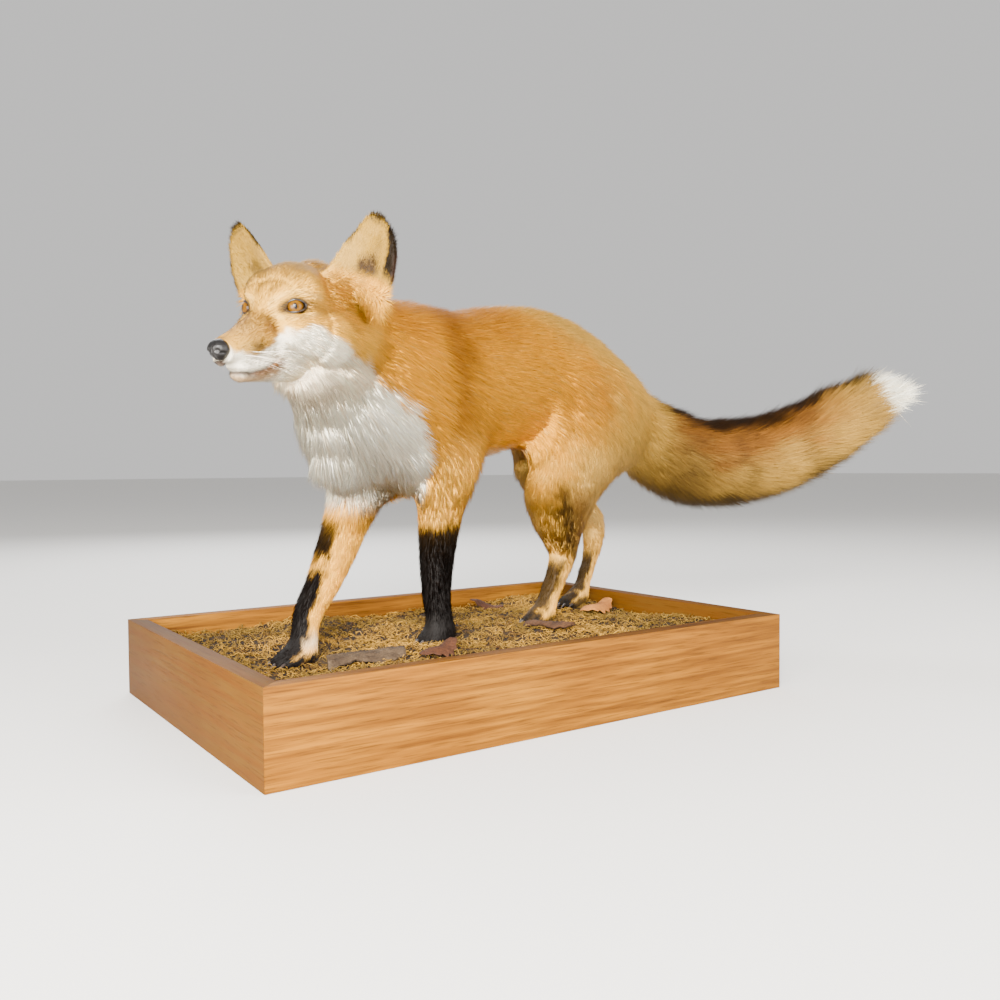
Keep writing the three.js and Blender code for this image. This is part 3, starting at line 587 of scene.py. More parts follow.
def markHindLegs(c):
    paint, share, rough, fine, n = c.paint, c.share, c.rough, c.fine, c.n
    x, _, z = c.p.T
    hind = share["hindLeft"] + share["hindRight"]
    behind = ramp(x + 24 * rough + 12 * fine - buffLine(z), -10, 110)
    paint(behind * (1 - ramp(z + 16 * rough, 235, 345)) * (1 - share["tail"]), "cream", 0.6)
    paint(hind * ramp(n[:, 0] + 0.3 * rough, 0.1, 0.8) * (1 - ramp(z, 250, 300)), "legTan", 0.85)
    paint(hind * (1 - ramp(z + 14 * rough, 150, 215)), "legTan", 0.6)
    line = np.interp(z, [110, 146, 188, 227, 259, 285], [322, 316, 281, 262, 257, 262])
    dark = bell(x + 7 * fine + 5 * rough, line, 11) * ramp(z, 140, 165) * (1 - ramp(z, 245, 275))
    soft = bell(x + 6 * rough, line + 25, 19) * ramp(z, 135, 170) * (1 - ramp(z, 232, 268))
    paint(share["hindLeft"] * soft, "brown", 0.72)
    paint(share["hindLeft"] * dark * ramp(-n[:, 1], 0.1, 0.5), "brownBlack", 0.88)
    paint(share["hindRight"] * ramp(n[:, 0] + 0.2 * fine, 0.55, 0.85) * bell(z, 182, 17), "brownBlack",
          0.85)
    shin = ramp(-n[:, 0] + 0.3 * fine, 0.0, 0.45) * ramp(152 + 6 * rough - z, -4, 12)
    paint(hind * shin, "black", 0.95)
    paint(hind * ramp(82 + 7 * fine - z, -4, 8), "black", 0.92)


def markTail(c):
    # along runs from 0 at the root to 1 at the tip; the top and the under side go by the normal.
    paint, rough, fine = c.paint, c.rough, c.fine
    tail, along, up = c.share["tail"], c.body["along"], c.n[:, 2]
    paint(tail * ramp(along, 0.0, 0.12), "buff", 0.8)
    paint(tail * ramp(along, 0.10, 0.22), "tailGold")
    back = ramp(along, 0.12, 0.24) * ramp(up + 0.25 * rough, -0.35, 0.35) * (1 - ramp(along, 0.62, 0.82))
    paint(tail * back, "tailRust", 0.85)
    bars = ramp(np.sin(along * 34 + 1.4 * rough) + 0.5 * fine, 0.5, 1.1)
    paint(tail * bars * ramp(along, 0.14, 0.3) * (1 - ramp(along, 0.72, 0.85)), "brownBlack", 0.5)
    paint(tail * bell(along, 0.28, 0.05) * ramp(-up + 0.3 * fine, -0.3, 0.4), "brownBlack", 0.6)
    topEnds = ramp(along, 0.06, 0.14) * (1 - ramp(along, 0.80, 0.88))
    paint(tail * ramp(up + 0.2 * rough, 0.55, 0.85) * topEnds, "black", 0.92)
    underEnds = ramp(along, 0.2, 0.32) * (1 - ramp(along, 0.84, 0.9))
    paint(tail * ramp(-up + 0.2 * rough, 0.55, 0.9) * underEnds, "black", 0.85)
    paint(tail * ramp(along + 0.015 * fine, 0.80, 0.87), "white", 0.97)


def headShare(c):
    return c.share["head"] * ramp(c.h[:, 0], -135, -95)


def markHead(c):
    paint, fine, head = c.paint, c.fine, headShare(c)
    x, y, z = c.h[:, 0], np.abs(c.h[:, 1]), c.h[:, 2]
    paint(head, "headTan")
    paint(head * bell(x, -30, 34) * ramp(z, 18, 36), "forehead", 0.7)
    paint(head * ramp(x, 4, 40) * ramp(z, -44, -20), "muzzleTan", 0.7)
    stripe = np.interp(z, [-30, -21, -7, 6, 16], [17, 20.5, 26, 24, 15])
    stripe = bell(x + 2 * fine, stripe, 4.5) * ramp(z, -30, -20) * (1 - ramp(z, 8, 18)) * bell(y, 19, 10)
    paint(head * stripe, "streak")
    paint(head * bell(x, 24, 10) * bell(z, -22, 7) * ramp(y, 8, 14), "rust", 0.35)
    paint(head * bell(x, 8, 8) * bell(y, 8, 4) * ramp(z, 8, 16), "streak", 0.6)
    paint(head * bell(x, 52, 16) * bell(y, 7, 7) * ramp(z, -32, -20), "forehead", 0.6)
    cheek = np.interp(x, [-110, -90, -50, -30, -10, 11, 24, 36, 45, 64, 80],
                      [-66, -60, -42, -30, -16, -22, -35, -41, -42, -38.5, -37])
    paint(head * ramp(cheek - z + 3 * fine, -3, 4), "white")
    spots = ramp(c.streaks + 0.6 * fine, -0.5, 0.5)
    pad = bell(x, 41, 11) * bell(z + 1.5 * fine, -37, 7.0) * ramp(y, 7, 12)
    paint(head * pad, "brownBlack", 0.75 + 0.22 * spots)
    paint(head * bell(x, 53, 10) * bell(z, -36, 5) * ramp(y, 6, 11), "grizzle", 0.6)
    line = np.interp(x, [-48, -30, -10, 6], [-16, -4, 3, 3])
    line = bell(z + 2 * fine, line, 4.5) * ramp(x, -52, -40) * (1 - ramp(x, -12, -4)) * (y > 26)
    paint(head * line, "brown", 0.65)


def markMouth(c):
    paint, fine, head = c.paint, c.fine, headShare(c)
    x, y, z = c.h[:, 0], np.abs(c.h[:, 1]), c.h[:, 2]
    lip = mouthHeight(x)
    onMouth = ramp(x, 10, 18)
    paint(head * onMouth * bell(z, lip - 7 - 2 * fine, 6.0) * (z < lip), "muzzleTan", 0.8)
    paint(head * onMouth * bell(z, lip - 1.2, 2.6), "brownBlack", 0.97)
    paint(head * ramp(x, 8, 14) * bell(z, lip - 3.6, 2.6) * (1 - ramp(x, 34, 52)), "brown", 0.75)
    paint(head * bell(x, 15, 7) * bell(z, -51, 7), "brown", 0.8)
    # Painted shadow along the under side of the lower jaw.
    paint(head * onMouth * ramp(lip - 11 - z, 0, 6), "slateShade", 0.7)
    paint(head * ramp(x, 66, 74) * bell(y, 0, 9) * ramp(z, -62, -48), "brownBlack", 0.7)


def markEyeRims(c):
    for side in (1, -1):
        e = toLocal(c.world, eyePlace(side))
        near = np.where((e[:, 0] > 0) & (np.linalg.norm(e, axis=1) < 26), 1.0, 0.0)
        opening = lidOpening(e[:, 1], e[:, 2], side)
        inward = -e[:, 1] * side
        c.paint(near * (1 - ramp(opening, 1.15, 1.75)), "lip", 0.95)
        tear = bell(e[:, 2] + 2.2, 0, 2.2) * ramp(inward, 8, 11) * (1 - ramp(inward, 15, 20))
        c.paint(near * tear, "brownBlack", 0.85)
        c.paint(near * bell(opening, 2.1, 0.35), "cream", 0.35)


def markEars(c):
    # up runs from 0 at the root to 1 at the tip, and across from the inner edge to the outer one.
    paint, fine, ear = c.paint, c.fine, c.ears["share"]
    up, across, front = c.ears["up"], c.ears["across"], c.ears["front"]
    onLeft = c.h[:, 1] > 0
    paint(ear, "earCream")
    paint(ear * ramp(across, 0.45, 0.2) * bell(up, 0.4, 0.3), "cream", 0.2)
    # Painted shade in the hollow of the ear cup, weaker on the right ear.
    hollow = bell(across + 0.05 * fine, 0.50, 0.17) * bell(up, 0.36, 0.17)
    hollow = ramp(hollow, 0.15, 0.75) + 0.4 * bell(across, 0.57, 0.07) * bell(up, 0.62, 0.16)
    paint(ear * hollow * (front > 0) * np.where(onLeft, 1, 0.55), "earHollowShade", 0.97)
    hairs = ramp(c.streaks + 0.5 * fine, 0.1, 0.9) * bell(across, 0.45, 0.3)
    paint(ear * (front > 0) * hairs, "grizzle", 0.45)
    behind, high = ramp(-front, 0.2, 1.4), ramp(up + 0.05 * fine, 0.38, 0.5)
    paint(ear * behind * high, "black", 0.96)
    paint(ear * behind * (1 - high), "headTan", 0.9)
    strip = ramp(across + 0.03 * fine, 0.745, 0.775) * ramp(up + 0.06 * fine, 0.30, 0.38)
    paint(ear * strip * (onLeft | (front < 0)), "black", 0.98)
    paint(ear * (1 - ramp(across, 0.05, 0.09)) * ramp(up, 0.5, 0.6), "black", 0.85)
    paint(ear * ramp(up + 0.03 * fine, 0.85, 0.90), "black", 0.9)
    paint(ear * ramp(across, 0.93, 0.97) * ramp(up, 0.2, 0.3), "brownBlack", 0.8)


def markings(world, normals):
    # Colour of the coat at points on the body, and what was read there of the body and the ears.
    c = CoatPainter(world, normals)
    for mark in (markTrunk, markBib, markForelegs, markHindLegs, markTail, markHead, markMouth, markEyeRims,
                 markEars):
        mark(c)
    return c.colour, c.body, c.ears


# Strands. Locks of fur, whiskers, claws and moss are closed tapering tubes round a centre line.
def meshFromTriangles(name, points, triangles, colours=None, uvs=None):
    # A smooth mesh from arrays. colours go with the points and uvs with the triangles' corners.
    mesh = bpy.data.meshes.new(name)
    mesh.vertices.add(len(points))
    mesh.vertices.foreach_set("co", np.asarray(points, np.float32).ravel())
    mesh.loops.add(len(triangles) * 3)
    mesh.loops.foreach_set("vertex_index", np.asarray(triangles, np.int32).ravel())
    mesh.polygons.add(len(triangles))
    mesh.polygons.foreach_set("loop_start", np.arange(0, len(triangles) * 3, 3, dtype=np.int32))
    mesh.polygons.foreach_set("use_smooth", np.ones(len(triangles), bool))
    if colours is not None:
        paintPoints(mesh, colours)
    if uvs is not None:
        layer = mesh.uv_layers.new(name="OFBake")
        layer.data.foreach_set("uv", np.asarray(uvs, np.float32).ravel())
    mesh.update(calc_edges=True)
    obj = bpy.data.objects.new(name, mesh)
    bpy.context.scene.collection.objects.link(obj)
    return obj


def paintPoints(mesh, colours):
    layer = mesh.color_attributes.get("coat") or mesh.color_attributes.new("coat", "FLOAT_COLOR", "POINT")
    rgba = np.ones((len(mesh.vertices), 4), np.float32)
    rgba[:, :3] = np.clip(colours, 0, 1)
    layer.data.foreach_set("color", rgba.ravel())


def strands(name, lines, radii, sides=3, flatness=0.5, up=None, colours=None, uvs=None):
    # lines is strand x ring x 3 and ends in the tips, radii is strand x ring, and colours fit the
    # lines.
    n, rings, _ = lines.shape
    rings -= 1
    tangent = unit(np.gradient(lines, axis=1))
    if up is None:
        up = np.broadcast_to([0.3, 0.2, 0.93], (n, 3))
    across = unit(np.cross(tangent, up[:, None, :]))
    out = np.cross(across, tangent)
    angle = np.arange(sides) * 2 * np.pi / sides + np.pi / 6
    ring = (across[:, :rings, None] * np.cos(angle)[:, None]
            + out[:, :rings, None] * (np.sin(angle) * flatness)[:, None])
    body = lines[:, :rings, None] + ring * radii[:, :rings, None, None]
    points = np.concatenate([body.reshape(n, rings * sides, 3), lines[:, rings:]], axis=1)
    count = rings * sides + 1
    faces = [[0, i, i + 1] for i in range(1, sides - 1)]
    for r in range(rings - 1):
        for s in range(sides):
            a, b = r * sides + s, r * sides + (s + 1) % sides
            faces += [[a, a + sides, b], [b, a + sides, b + sides]]
    top = (rings - 1) * sides
    faces += [[top + s, count - 1, top + (s + 1) % sides] for s in range(sides)]
    faces = np.array(faces)
    triangles = (faces[None] + (np.arange(n) * count)[:, None, None]).reshape(-1, 3)
    if colours is not None:
        spread = np.repeat(colours[:, :rings], sides, axis=1)
        colours = np.concatenate([spread, colours[:, rings:]], axis=1).reshape(-1, 3)
    corner = None
    if uvs is not None:
        patch = 0.003
        u = np.concatenate([np.tile(np.linspace(-0.5, 0.5, sides), rings), [0]]) * patch
        v = (np.append(np.repeat(np.arange(rings), sides), rings) / rings - 0.5) * patch
        spot = np.clip(uvs[:, None] + np.stack([u, v], 1)[None], 0, 1).reshape(-1, 2)
        corner = spot[triangles.ravel()]
    return meshFromTriangles(name, points.reshape(-1, 3), triangles, colours, corner)


# Coat. Each piece is a part of the body: how many locks, their width at the root, lean and spread.
coat = {
    "coatFace": {"groups": ["head"], "where": "face", "count": 49000, "width": 0.42, "lean": 13,
                 "spread": 0.07},
    "coatCheeks": {"groups": ["head"], "where": "cheeks", "count": 36000, "width": 0.62, "lean": 16,
                   "spread": 0.08},
    "coatNeck": {"groups": ["neck"], "where": "all", "count": 46000, "width": 0.78, "lean": 17,
                 "spread": 0.08},
    "coatShoulder": {"groups": ["trunk"], "where": "front", "count": 44000, "width": 0.8, "lean": 14,
                     "spread": 0.07},
    "coatRump": {"groups": ["trunk"], "where": "back", "count": 46000, "width": 0.8, "lean": 14,
                 "spread": 0.07},
    "coatThighs": {"groups": ["hindLeft", "hindRight"], "where": "high", "count": 33000, "width": 0.75,
                   "lean": 15, "spread": 0.08},
    "coatLegs": {"groups": ["foreLeft", "foreRight", "hindLeft", "hindRight"], "where": "low",
                 "count": 45000, "width": 0.5,
                 "lean": 11, "spread": 0.08},
    "coatTail": {"groups": ["tail"], "where": "all", "count": 36000, "width": 0.9, "lean": 24,
                 "spread": 0.13},
    "coatTailOver": {"groups": ["tail"], "where": "all", "count": 36000, "width": 0.6, "lean": 27,
                     "spread": 0.16},
}


class SkinReader:
    # The finished skin as triangles, with what the coat needs at each corner.

    def __init__(self, skin):
        mesh = skin.data
        mesh.calc_loop_triangles()
        n = len(mesh.loop_triangles)
        corners, loops = np.zeros(n * 3, np.int32), np.zeros(n * 3, np.int32)
        mesh.loop_triangles.foreach_get("vertices", corners)
        mesh.loop_triangles.foreach_get("loops", loops)
        uv = np.zeros(len(mesh.loops) * 2, np.float32)
        mesh.uv_layers["OFBake"].data.foreach_get("uv", uv)
        self.co, self.normals = readPoints(mesh), readNormals(mesh)
        self.corners = corners.reshape(-1, 3)
        self.uv = uv.reshape(-1, 2)[loops.reshape(-1, 3)]
        a, b, c = (self.co[self.corners[:, i]] for i in range(3))
        self.area = np.linalg.norm(np.cross(b - a, c - a), axis=1) / 2
        self.middle = (a + b + c) / 3

    def scatter(self, weights, count):
        chance = self.area * weights
        pick = dice.choice(len(chance), count, p=chance / chance.sum())
        r1, r2 = np.sqrt(dice.random(count)), dice.random(count)
        w = np.stack([1 - r1, r1 * (1 - r2), r1 * r2], 1)[..., None]
        corner = self.corners[pick]
        return (self.co[corner] * w).sum(1), unit((self.normals[corner] * w).sum(1)), (self.uv[pick]
                                                                                       * w).sum(1)


def zoneWeights(reader, body, ears, spec):
    share = sum(body["share"][g] for g in spec["groups"]) * (1 - ears["share"])
    h = toLocal(reader.middle, headPlace)
    f = toLocal(reader.middle, foxPlace)
    where = spec["where"]
    if where == "face":
        weights = np.where(h[:, 0] > -48, share, 0) + 2.2 * ears["share"]
        weights *= 1 + 0.8 * ramp(h[:, 0], 0, 40)
        opening = np.ones(len(h))
        for side in (1, -1):
            e = toLocal(reader.middle, eyePlace(side))
            opening *= np.where((e[:, 0] > 0) & (np.linalg.norm(e, axis=1) < 24),
                                ramp(lidOpening(e[:, 1], e[:, 2], side), 1.2, 1.5), 1)
        nose = np.linalg.norm((h - [76, 0, -38]) / [11, 12, 11], axis=1)
        return weights * opening * ramp(nose, 0.95, 1.1)
    if where == "cheeks":
        return np.where(h[:, 0] <= -10, share, 0) * ramp(-h[:, 0], 6, 30)
    if where == "front":
        return share * (1 - ramp(f[:, 0], 190, 215))
    if where == "back":
        return share * ramp(f[:, 0], 190, 215)
    if where == "high":
        return share * ramp(f[:, 2], 215, 240)
    if where == "low":
        return share * (1 - ramp(f[:, 2], 225, 262))
    return share


def growCoat(reader, skinBody, skinEars, name, spec):
    roots, normals, spots = reader.scatter(zoneWeights(reader, skinBody, skinEars, spec), spec["count"])
    colours, body, ears = markings(roots, normals)
    n = len(roots)
    flow = turnWorld(body["flow"], foxPlace)
    nearEar = np.maximum(ears["share"], 0.6 * ears["near"])[:, None]
    flow = flow * (1 - nearEar) + ears["flow"] * nearEar
    p = toLocal(roots, foxPlace)
    waves = np.stack([wobble(p, 34, seed) for seed in (61, 62, 63)], 1)
    flow = flow + 0.16 * waves + spec["spread"] * dice.normal(size=(n, 3))
    flow = unit(flow - normals * (flow * normals).sum(1, keepdims=True))
    length = body["hair"] * (1 - 0.62 * ears["near"])
    length = length * (1 - ears["share"]) + earShape["hair"] * ears["share"]
    length = length * dice.uniform(0.7, 1.12, n)
    lean = np.radians(spec["lean"] * dice.uniform(0.6, 1.3, n)) * (1 - 0.3 * ears["share"])
    way = flow * np.cos(lean)[:, None] + normals * np.sin(lean)[:, None]
    start = roots - normals * 0.0006
    line = np.stack([start, start + way * (length * mm)[:, None]], 1)
    thick = spec["width"] * mm * dice.uniform(0.75, 1.25, n) * np.clip(length / 14, 0.6, 1.15)
    clump = wobble(p * [0.5, 1, 1], 9, 64)
    shade = (dice.normal(1, 0.13, n) + 0.10 * clump)[:, None, None] * np.array([0.80, 1.12])[None, :, None]
    tone = colours[:, None] * shade
    pale = (dice.random(n) < 0.07 + 0.12 * body["share"]["head"]) & (colours.max(1) > 0.2)
    tone[pale] = tone[pale] * 0.65 + 0.35 * furTones["cream"] * (0.25 + 0.75
                                                                 * colours[pale].max(1))[:, None, None]
    radii = thick[:, None]
    obj = strands(name, line, radii, 3, 0.45, normals, tone, spots)
    obj.data.materials.append(materials["fur"])
    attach(obj, "root")
    return obj


# Materials
def feed(tree, socket, value):
    # Links a socket from another one, or gives it a value.
    if isinstance(value, bpy.types.NodeSocket):
        tree.links.new(value, socket)
    else:
        socket.default_value = value


def newMaterial(name, roughness, specular, **sockets):
    material = bpy.data.materials.new(name)
    material.use_nodes = True
    shader = material.node_tree.nodes["Principled BSDF"]
    for socket, value in {"Roughness": roughness, "Specular IOR Level": specular, **sockets}.items():
        shader.inputs[socket].default_value = value
    return material, material.node_tree, shader


def addNode(tree, kind, inputs=None, **settings):
    # A node with its settings; an input is given a value or linked from a socket.
    node = tree.nodes.new(kind)
    for key, value in settings.items():
        setattr(node, key, value)
    for key, value in (inputs or {}).items():
        feed(tree, node.inputs[key], value)
    return node


def calc(tree, operation, *values):
    return addNode(tree, "ShaderNodeMath", dict(enumerate(values)), operation=operation).outputs[0]


def scaleBy(tree, vector, factors):
    return addNode(tree, "ShaderNodeVectorMath", {0: vector, 1: factors}, operation="MULTIPLY").outputs[0]


def remap(tree, value, low=0.0, high=1.0, newLow=0.0, newHigh=1.0):
    inputs = {"Value": value, "From Min": low, "From Max": high, "To Min": newLow, "To Max": newHigh}
    return addNode(tree, "ShaderNodeMapRange", inputs).outputs[0]


def noise(tree, vector, scale, detail, roughness=0.5):
    inputs = {"Vector": vector, "Scale": scale, "Detail": detail, "Roughness": roughness}
    return addNode(tree, "ShaderNodeTexNoise", inputs).outputs[0]


def mixColour(tree, factor, a, b, blend="MIX"):
    node = addNode(tree, "ShaderNodeMix", data_type="RGBA", blend_type=blend)
    for index, value in ((0, factor), (6, a), (7, b)):    # the colour sockets come after those for numbers
        feed(tree, node.inputs[index], value)
    return node.outputs[2]


def rgba(r, g, b):
    return (*srgb(r, g, b), 1)


def objectSpot(tree):
    return addNode(tree, "ShaderNodeTexCoord").outputs["Object"]


def coatTone(tree):
    return addNode(tree, "ShaderNodeVertexColor", layer_name="coat").outputs[0]


def newGroup(name, numbersIn, numbersOut):
    group = bpy.data.node_groups.new(name, "ShaderNodeTree")
    group.interface.new_socket(name="Vector", in_out="INPUT", socket_type="NodeSocketVector")
    for way, names in (("INPUT", numbersIn), ("OUTPUT", numbersOut)):
        for socket in names:
            group.interface.new_socket(name=socket, in_out=way, socket_type="NodeSocketFloat")
    return group, group.nodes.new("NodeGroupInput").outputs, group.nodes.new("NodeGroupOutput").inputs


def grainGroup():
    # Fine streaks drawn out along X, for wood: a mask and a height.
    group, given, result = newGroup("grain", ("Scale", "Stretch"), ("Streak", "Pore"))
    inverse = calc(group, "DIVIDE", 1.0, given["Stretch"])
    squeeze = addNode(group, "ShaderNodeCombineXYZ", {"X": inverse, "Y": 1.0, "Z": 1.0})
    drawn = scaleBy(group, given["Vector"], squeeze.outputs[0])
    group.links.new(noise(group, drawn, given["Scale"], 5.0, 0.6), result["Streak"])
    pore = noise(group, drawn, calc(group, "MULTIPLY", given["Scale"], 4.0), 2.0)
    group.links.new(remap(group, pore, 0.56, 0.68), result["Pore"])
    return group


def patchGroup():
    # Soft patches of a second tone at one size, and a fine speckle.
    group, given, result = newGroup("patches", ("Scale", "Contrast"), ("Patch", "Speckle"))
    broad = noise(group, given["Vector"], given["Scale"], 4.0)
    low, high = (calc(group, way, 0.5, given["Contrast"]) for way in ("SUBTRACT", "ADD"))
    group.links.new(remap(group, broad, low, high), result["Patch"])
    finer = calc(group, "MULTIPLY", given["Scale"], 9.0)
    group.links.new(noise(group, given["Vector"], finer, 3.0), result["Speckle"])
    return group


groupsOfNodes = {"grain": grainGroup(), "patches": patchGroup()}


def placeGroup(tree, group, **values):
    return addNode(tree, "ShaderNodeGroup", values, node_tree=groupsOfNodes[group]).outputs


def addBump(tree, shader, height, strength, distance):
    inputs = {"Height": height, "Strength": strength, "Distance": distance}
    tree.links.new(addNode(tree, "ShaderNodeBump", inputs).outputs[0], shader.inputs["Normal"])


def strandMaterial(name, roughness, specular=0.3):
    material, tree, shader = newMaterial(name, roughness, specular)
    tree.links.new(coatTone(tree), shader.inputs["Base Color"])
    return material


def skinMaterial():
    material, tree, shader = newMaterial("skin", 0.75, 0.2)
    patches = placeGroup(tree, "patches", Vector=objectSpot(tree), Scale=90.0, Contrast=0.16)
    shade = remap(tree, patches["Speckle"], newLow=0.55, newHigh=1.05)
    tree.links.new(mixColour(tree, 1.0, coatTone(tree), shade, "MULTIPLY"), shader.inputs["Base Color"])
    addBump(tree, shader, patches["Speckle"], 0.5, 0.0012)
    return material


# The dark pair is painted shade for the end boards, which face away from the light.
oakTones = {"light": ((0.205, 0.082, 0.004, 1), (0.155, 0.056, 0.003, 1)),
            "dark": ((0.088, 0.040, 0.005, 1), (0.064, 0.027, 0.003, 1)),
            "figure": (0.085, 0.028, 0.002, 1), "streak": (0.070, 0.023, 0.002, 1),
            "pore": (0.026, 0.010, 0.002, 1)}
oakGrain = {"scale": 190.0, "stretch": 26.0, "bend": 6.0, "pull": 0.075, "rings": 420.0, "figure": 0.38,
            "pore": 0.35,
            "relief": 0.25, "depth": 0.0004, "endBoard": (0.37, 0.11, 0.05)}


def oakMaterial(name, turned, dark):
    # Varnished oak with open grain and cathedral figure. turned is for a board that runs along Y, and dark
    # gives the darker tones that are painted shade on the end boards.
    material, tree, shader = newMaterial(name, 0.6, 0.06)
    turn = addNode(tree, "ShaderNodeMapping", {
        "Vector": objectSpot(tree), "Rotation": (0, 0, math.radians(90) if turned else 0),
        "Location": oakGrain["endBoard"] if turned else (0, 0, 0)}).outputs[0]
    grain = placeGroup(tree, "grain", Vector=turn, Scale=oakGrain["scale"], Stretch=oakGrain["stretch"])
    bend = noise(tree, scaleBy(tree, turn, (0.45, 1.0, 1.6)), oakGrain["bend"], 2.5)
    parts = addNode(tree, "ShaderNodeSeparateXYZ", {"Vector": turn}).outputs
    across = calc(tree, "ADD", parts["Z"], parts["Y"])
    pull = calc(tree, "MULTIPLY_ADD", bend, oakGrain["pull"], across)
    figure = remap(tree, calc(tree, "SINE", calc(tree, "MULTIPLY", pull, oakGrain["rings"])), 0.15)
    broad = placeGroup(tree, "patches", Vector=turn, Scale=7.0, Contrast=0.2)
    # The end boards take the dark tones as painted shade.
    colour = mixColour(tree, broad["Patch"], *oakTones["dark" if dark else "light"])
    colour = mixColour(tree, calc(tree, "MULTIPLY", figure, oakGrain["figure"]), colour, oakTones["figure"])
    colour = mixColour(tree, remap(tree, grain["Streak"], 0.35, 0.7), colour, oakTones["streak"])
    colour = mixColour(tree, calc(tree, "MULTIPLY", grain["Pore"], oakGrain["pore"]), colour,
                       oakTones["pore"])
    tree.links.new(colour, shader.inputs["Base Color"])
    addBump(tree, shader, calc(tree, "SUBTRACT", 1.0, grain["Pore"]), oakGrain["relief"], oakGrain["depth"])
    return material


def twoToneMaterial(name, light, dark, scale, contrast, roughness, bump, depth):
    material, tree, shader = newMaterial(name, roughness, 0.25)
    patches = placeGroup(tree, "patches", Vector=objectSpot(tree), Scale=scale, Contrast=contrast)
    base = mixColour(tree, patches["Patch"], rgba(*light), rgba(*dark))
    some = remap(tree, patches["Speckle"], 0.35, 0.7, newHigh=0.55)
    tree.links.new(mixColour(tree, some, base, rgba(*dark)), shader.inputs["Base Color"])
    addBump(tree, shader, patches["Speckle"], bump, depth)
    return material


irisLook = {"radius": 9.4, "slitWidth": 2.2, "slitHeight": 9.0, "pupil": (0.004, 0.003, 0.003, 1),
            "stops": ((0.15, (58, 34, 1)), (0.45, (86, 54, 1)), (0.66, (72, 44, 1)), (0.74, (44, 23, 1)),
                      (0.87, (8, 5, 3)))}


def eyeMaterial(name, side):
    # Amber glass with a slit pupil, drawn on the eye's own axes in millimetres.
    gloss = {"Coat Weight": 0.25, "Coat Roughness": 0.02, "Coat IOR": 1.33}
    material, tree, shader = newMaterial(name, 0.25, 0.1, **gloss)
    place = eyePlace(side)
    own = addNode(tree, "ShaderNodeMapping", {"Vector": objectSpot(tree), "Location": place.translation,
                                              "Rotation": place.to_euler()}, vector_type="TEXTURE")
    inMm = addNode(tree, "ShaderNodeVectorMath", {0: own.outputs[0], "Scale": 1000.0}, operation="SCALE")
    parts = addNode(tree, "ShaderNodeSeparateXYZ", {"Vector": inMm.outputs[0]}).outputs
    squareY, squareZ = (calc(tree, "MULTIPLY", parts[axis], parts[axis]) for axis in "YZ")
    radius = calc(tree, "POWER", calc(tree, "ADD", squareY, squareZ), 0.5)
    angle = calc(tree, "ARCTAN2", parts["Z"], parts["Y"])
    fibres = addNode(tree, "ShaderNodeCombineXYZ", {"X": angle, "Y": radius}).outputs[0]
    thread = noise(tree, scaleBy(tree, fibres, (9.0, 0.35, 1.0)), 1.0, 3.0)
    amber = addNode(tree, "ShaderNodeValToRGB", {"Fac": remap(tree, radius, high=irisLook["radius"])})
    stops = amber.color_ramp.elements
    stops.remove(stops[1])
    for index, (position, tone) in enumerate(irisLook["stops"]):
        stop = stops.new(position) if index else stops[0]
        stop.position, stop.color = position, rgba(*tone)
    iris = mixColour(tree, 1.0, amber.outputs[0], remap(tree, thread, 0.3, 0.7, 0.65, 1.2), "MULTIPLY")
    slitY = calc(tree, "DIVIDE", squareY, irisLook["slitWidth"])
    slitZ = calc(tree, "DIVIDE", squareZ, irisLook["slitHeight"])
    pupil = remap(tree, calc(tree, "ADD", slitY, slitZ), 0.8, 1.25, 1.0, 0.0)
    tree.links.new(mixColour(tree, pupil, iris, irisLook["pupil"]), shader.inputs["Base Color"])
    return material


def noseMaterial():
    material, tree, shader = newMaterial("noseLeather", 0.38, 0.32)
    spot = objectSpot(tree)
    cells = addNode(tree, "ShaderNodeTexVoronoi", {"Vector": spot, "Scale": 1100.0})
    patches = placeGroup(tree, "patches", Vector=spot, Scale=120.0, Contrast=0.2)
    tone = mixColour(tree, patches["Patch"], rgba(13, 11, 11), rgba(7, 6, 6))
    tree.links.new(tone, shader.inputs["Base Color"])
    addBump(tree, shader, cells.outputs[0], 0.35, 0.0006)
    return material


# Two tones, their scale and contrast, then roughness and the bump's strength and depth
twoTones = {
    "panel": ((190, 152, 104), (158, 120, 78), 18.0, 0.2, 0.8, 0.2, 0.0005),
    "mossBed": ((58, 40, 14), (30, 20, 9), 60.0, 0.12, 0.95, 0.8, 0.004),
    "bark": ((80, 64, 46), (36, 24, 14), 55.0, 0.14, 0.9, 0.8, 0.002),
    "barkBrown": ((78, 50, 28), (38, 22, 11), 60.0, 0.14, 0.9, 0.8, 0.002),
    "leaf": ((70, 38, 18), (40, 20, 10), 45.0, 0.18, 0.8, 0.5, 0.0008),
    "leafPale": ((172, 112, 46), (112, 66, 26), 40.0, 0.18, 0.8, 0.5, 0.0008),
}
materials = {name: twoToneMaterial(name, *look) for name, look in twoTones.items()}
materials |= {
    "fur": strandMaterial("fur", 0.55, 0.05),
    "skin": skinMaterial(),
    "oak": oakMaterial("oak", False, False),
    # the end boards' oak, darkened as painted shade
    "oakEndShaded": oakMaterial("oakEndShaded", True, True),
    "moss": strandMaterial("moss", 0.85),
    "nose": noseMaterial(),
    "eyeLeft": eyeMaterial("eyeLeft", 1),
    "eyeRight": eyeMaterial("eyeRight", -1),
    "lid": newMaterial("lid", 0.3, 0.5, **{"Base Color": rgba(20, 14, 13)})[0],
    "claw": strandMaterial("claw", 0.35),
    "whisker": strandMaterial("whisker", 0.4),
}


def finishPiece(obj, material, nodes=()):
    if material:
        obj.data.materials.clear()
        obj.data.materials.append(material)
    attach(obj, "root")
    if nodes:
        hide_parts(*nodes)
    return obj


